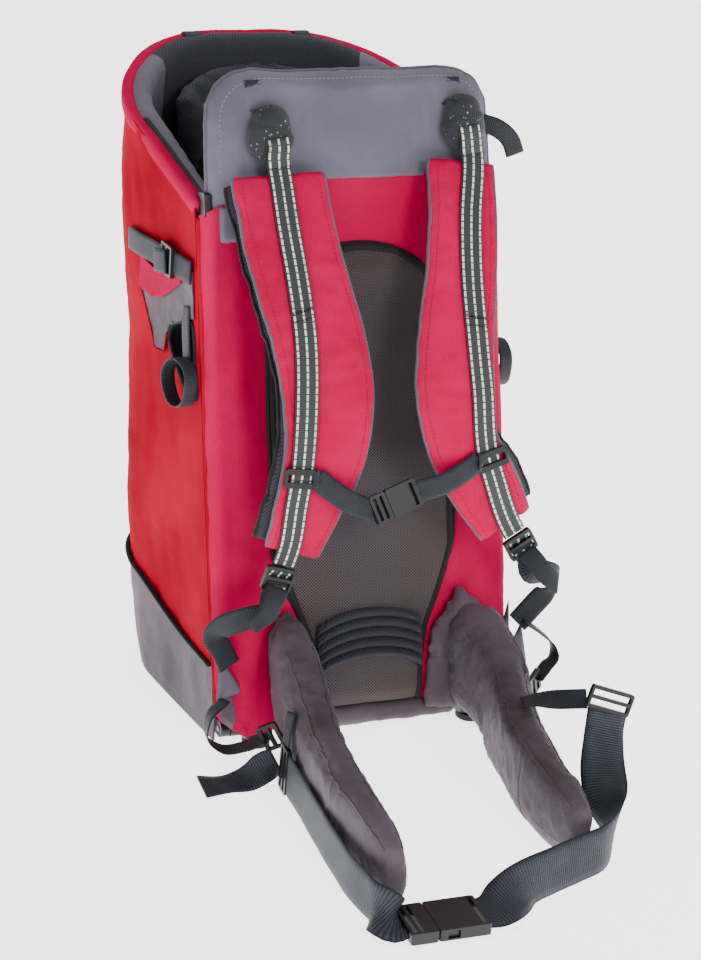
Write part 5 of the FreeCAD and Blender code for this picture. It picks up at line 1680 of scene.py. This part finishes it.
def make_stabilisers():
    bands = []
    for side in (-1, 1):
        route = [(standing(*p), Vector((0.15, 1, 0))) for p in STABILISER[side]]
        bands.append(webbing("band", route, 20 * MM, WEB_T * MM, WEB, wave=0.0008, seed=75 + side))
    band = join("stabiliser_bands", bands)
    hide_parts("stabiliser_webbing")
    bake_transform(band)
    tabs = []
    for side in (-1, 1):
        x = side * (152.0 if side < 0 else 166.0)
        outline = rounded_outline([(x + side * 14, 106), (x - side * 10, 64), (x + side * 20, 58)], [4] * 3, 5)
        tabs.append(pillow("tab", outline, -6.4, -3.6, LILAC, rings=4, power=8.0))
    done(join("side_tab_patches", tabs), replaces=["side_tabs"], slot="grey_fabric")


# ---- inside the child compartment ----
def make_child_parts():
    seat = puffed(copy_of("child_seat", "child_seat_pad", SEAT), 0.006, 0.005, 3.0)
    wrinkles(seat, 0.05, 0.0025, seed=80, soft=0.6)
    done(seat, replaces=["child_seat"], slot="seat_fabric")
    back = puffed(copy_of("child_back_pad", "child_back_cushion", SEAT), 0.006, 0.005, 3.0)
    wrinkles(back, 0.05, 0.002, seed=81, soft=0.6)
    tree = surface_of(back)
    done(back, replaces=["child_back_pad"], slot="seat_fabric")
    ridges = []
    for v in (410, 455, 500, 545):
        line = on_surface(tree, [pack(u, 235, v) for u in np.linspace(-70, 70, 40)], 0.0)
        ridges.append(round_cord("back_cushion_seam", line, 0.0013, DARK_THREAD))
    done(join("back_cushion_seams", ridges), slot="seat_fabric")
    head = puffed(copy_of("headrest_pad", "headrest_cushion", MESH_DARK), 0.006, 0.006, 3.0)
    wrinkles(head, 0.045, 0.0016, seed=82, soft=0.8)
    done(head, replaces=["headrest_pad"], slot="black_mesh")
    bands = []
    for side in (-1, 1):
        points = [(side * 52, 271.5, 560), (side * 52, 262, 515), (side * 47, 244, 470), (side * 38, 222, 430),
                  (side * 24, 204, 398)]
        bands.append(webbing("band", [(pack(*p), (1, 0, 0)) for p in points], 20 * MM, 2 * MM, WEB,
                             wave=0.0010, seed=83 + side))
    crotch = [(0, 195, 367), (0, 190, 348), (0, 184, 325)]
    bands.append(webbing("band", [(pack(*p), (1, 0, 0)) for p in crotch], WEB_W * MM, 2 * MM, WEB))
    done(join("child_harness_bands", bands), replaces=["child_harness_webbing"], slot="black_webbing")


# ---- sides and rim ----
SIDE_TURN = 180.0
STIRRUP = (46.0, 384.0)     # depth and height of a foot loop's middle


def side_x(w):
    return FRONT_HALF + 1.0 + (BODY_HALF - FRONT_HALF - 1.0) * (w - 26.0) / (SIDE_TURN - 26.0)


def on_side(side, w, v, lift):
    return pack(side * (side_x(w) + lift + 0.4), w, v)


def flap_edge(w):
    """Lower edge of the red flap over the side panel."""
    return np.interp(w, (30, 60, 96, 122, 150), (493, 482, 469, 469, 480))


def panel_low(w):
    """Lower edge of the grey stretch panel: it stops at the leg opening."""
    return np.interp(w, (30, 50, 86, 95, 102, 122, 132, 150), (449, 448, 440, 428, 411, 414, 436, 474))


def make_side_panel(side, name):
    """Grey stretch panel above the leg opening with a red flap over its upper edge."""
    rows = []
    for t in np.linspace(0, 1, 16):
        rows.append([on_side(side, w, panel_low(w) + (flap_edge(w) + 4 - panel_low(w)) * t, 1.3)
                     for w in np.linspace(29, 150, 44)])
    cloth = solid(wrinkles(grid("side_grey_panel_" + name, rows, TAUPE), 0.03, 0.0014, seed=93 + side), 0.0012, 0.0)
    rim = [on_side(side, w, panel_low(w), 1.8) for w in np.linspace(92, 150, 50)]
    trim = round_cord("side_panel_seam_" + name, rim, 0.0012, RED_SHADED)
    rows = []
    for t in np.linspace(0, 1, 9):
        lift = 1.2 + 3.2 * (1 - t) ** 1.5
        rows.append([on_side(side, w, flap_edge(w) + 30 * t, lift) for w in np.linspace(52, 152, 44)])
    flap = solid(wrinkles(grid("side_flap_" + name, rows, RED), 0.03, 0.0012, seed=95 + side), 0.0016, 0.0)
    done(cloth, slot="grey_fabric")
    done(trim)
    done(flap)


def make_side_webbing():
    bands = []
    for side in (-1, 1):
        rear = [(176, 530, 1.6), (150, 524, 2.6), (124, 518, 2.0), (98, 512.5, 3.0), (84, 509.5, 3.2)]
        front = [(74, 507.5, 3.2), (59, 504, 2.6), (44, 500, 2.0), (28, 496, 1.8)]
        for k, route in enumerate((rear, front)):
            line = [(on_side(side, w, v, lift + 1.2), pack_way(0, -0.22, 1)) for w, v, lift in route]
            bands.append(webbing("band", line, WEB_W * MM, WEB_T * MM, WEB, wave=0.0014, seed=86 + side + k))
        end = [(on_side(side, 76, 506, 8.0), pack_way(0, -0.2, 1)), (on_side(side, 90, 507, 8.5), pack_way(0, -0.2, 1)),
               (on_side(side, 104, 508, 7.5), pack_way(0, -0.15, 1))]
        bands.append(webbing("end", end, WEB_W * MM, WEB_T * MM, WEB, wave=0.0012, seed=90 + side))
    done(join("side_compression_bands", bands), replaces=["side_webbing"], slot="black_webbing")
    for side, name in ((-1, "left"), (1, "right")):
        loop = []
        centre = STIRRUP
        for step in range(25):
            a = math.radians(96 + 348 * step / 24)
            r_w = 28 * (1 + 0.06 * math.sin(3 * a))
            loop.append((on_side(side, centre[0] + r_w * math.cos(a), centre[1] + 25 * math.sin(a), 11.2),
                         Vector((1, 0, 0))))
        band = webbing("stirrup_band_" + name, loop, 15 * MM, 2 * MM, WEB, count=70)
        done(band, "stirrup_" + name, ["stirrup_loop_" + name], slot="black_webbing")
    tabs = []
    for side in (-1, 1):
        heights = [(STIRRUP[1] + rise, lift) for rise, lift in ((78, 1.2), (60, 2.2), (40, 2.6), (18, 2.0))]
        tabs.append(webbing("tab", [(on_side(side, STIRRUP[0], v, lift), pack_way(0, 1, 0)) for v, lift in heights],
                            22 * MM, 2 * MM, WEB))
    done(join("stirrup_tab_bands", tabs), replaces=["stirrup_tabs"], slot="black_webbing")
    for side, name in ((-1, "left"), (1, "right")):
        make_side_panel(side, name)
    tabs = []
    for side in (-1, 1):
        u = side * 66.0
        top = rim_height(300)
        route = [(pack(u, 307, top - 34), (1, 0, 0)), (pack(u, 311, top - 10), (1, 0, 0)),
                 (pack(u, 310, top + 3), (1, 0, 0)), (pack(u, 302, top + 9), (1, 0, 0)),
                 (pack(u, 292, top + 2), (1, 0, 0)), (pack(u, 289, top - 8), (1, 0, 0))]
        tabs.append(webbing("tab", route, 20 * MM, 1.8 * MM, WEB))
    done(join("rim_tab_bands", tabs), replaces=["rim_tabs"], slot="black_webbing")


make_compartment()
make_front_panel()
make_corner_patches()
make_bag()
make_back_pad()
make_lumbar()
make_hem()
make_head_panel()
make_tabs_and_knots()
make_harness()
make_lower_webbing()
make_sternum()
for wing_side, wing_name in ((-1, "left"), (1, "right")):
    make_wing(wing_side, wing_name)
make_belt()
make_stabilisers()
make_child_parts()
make_side_webbing()
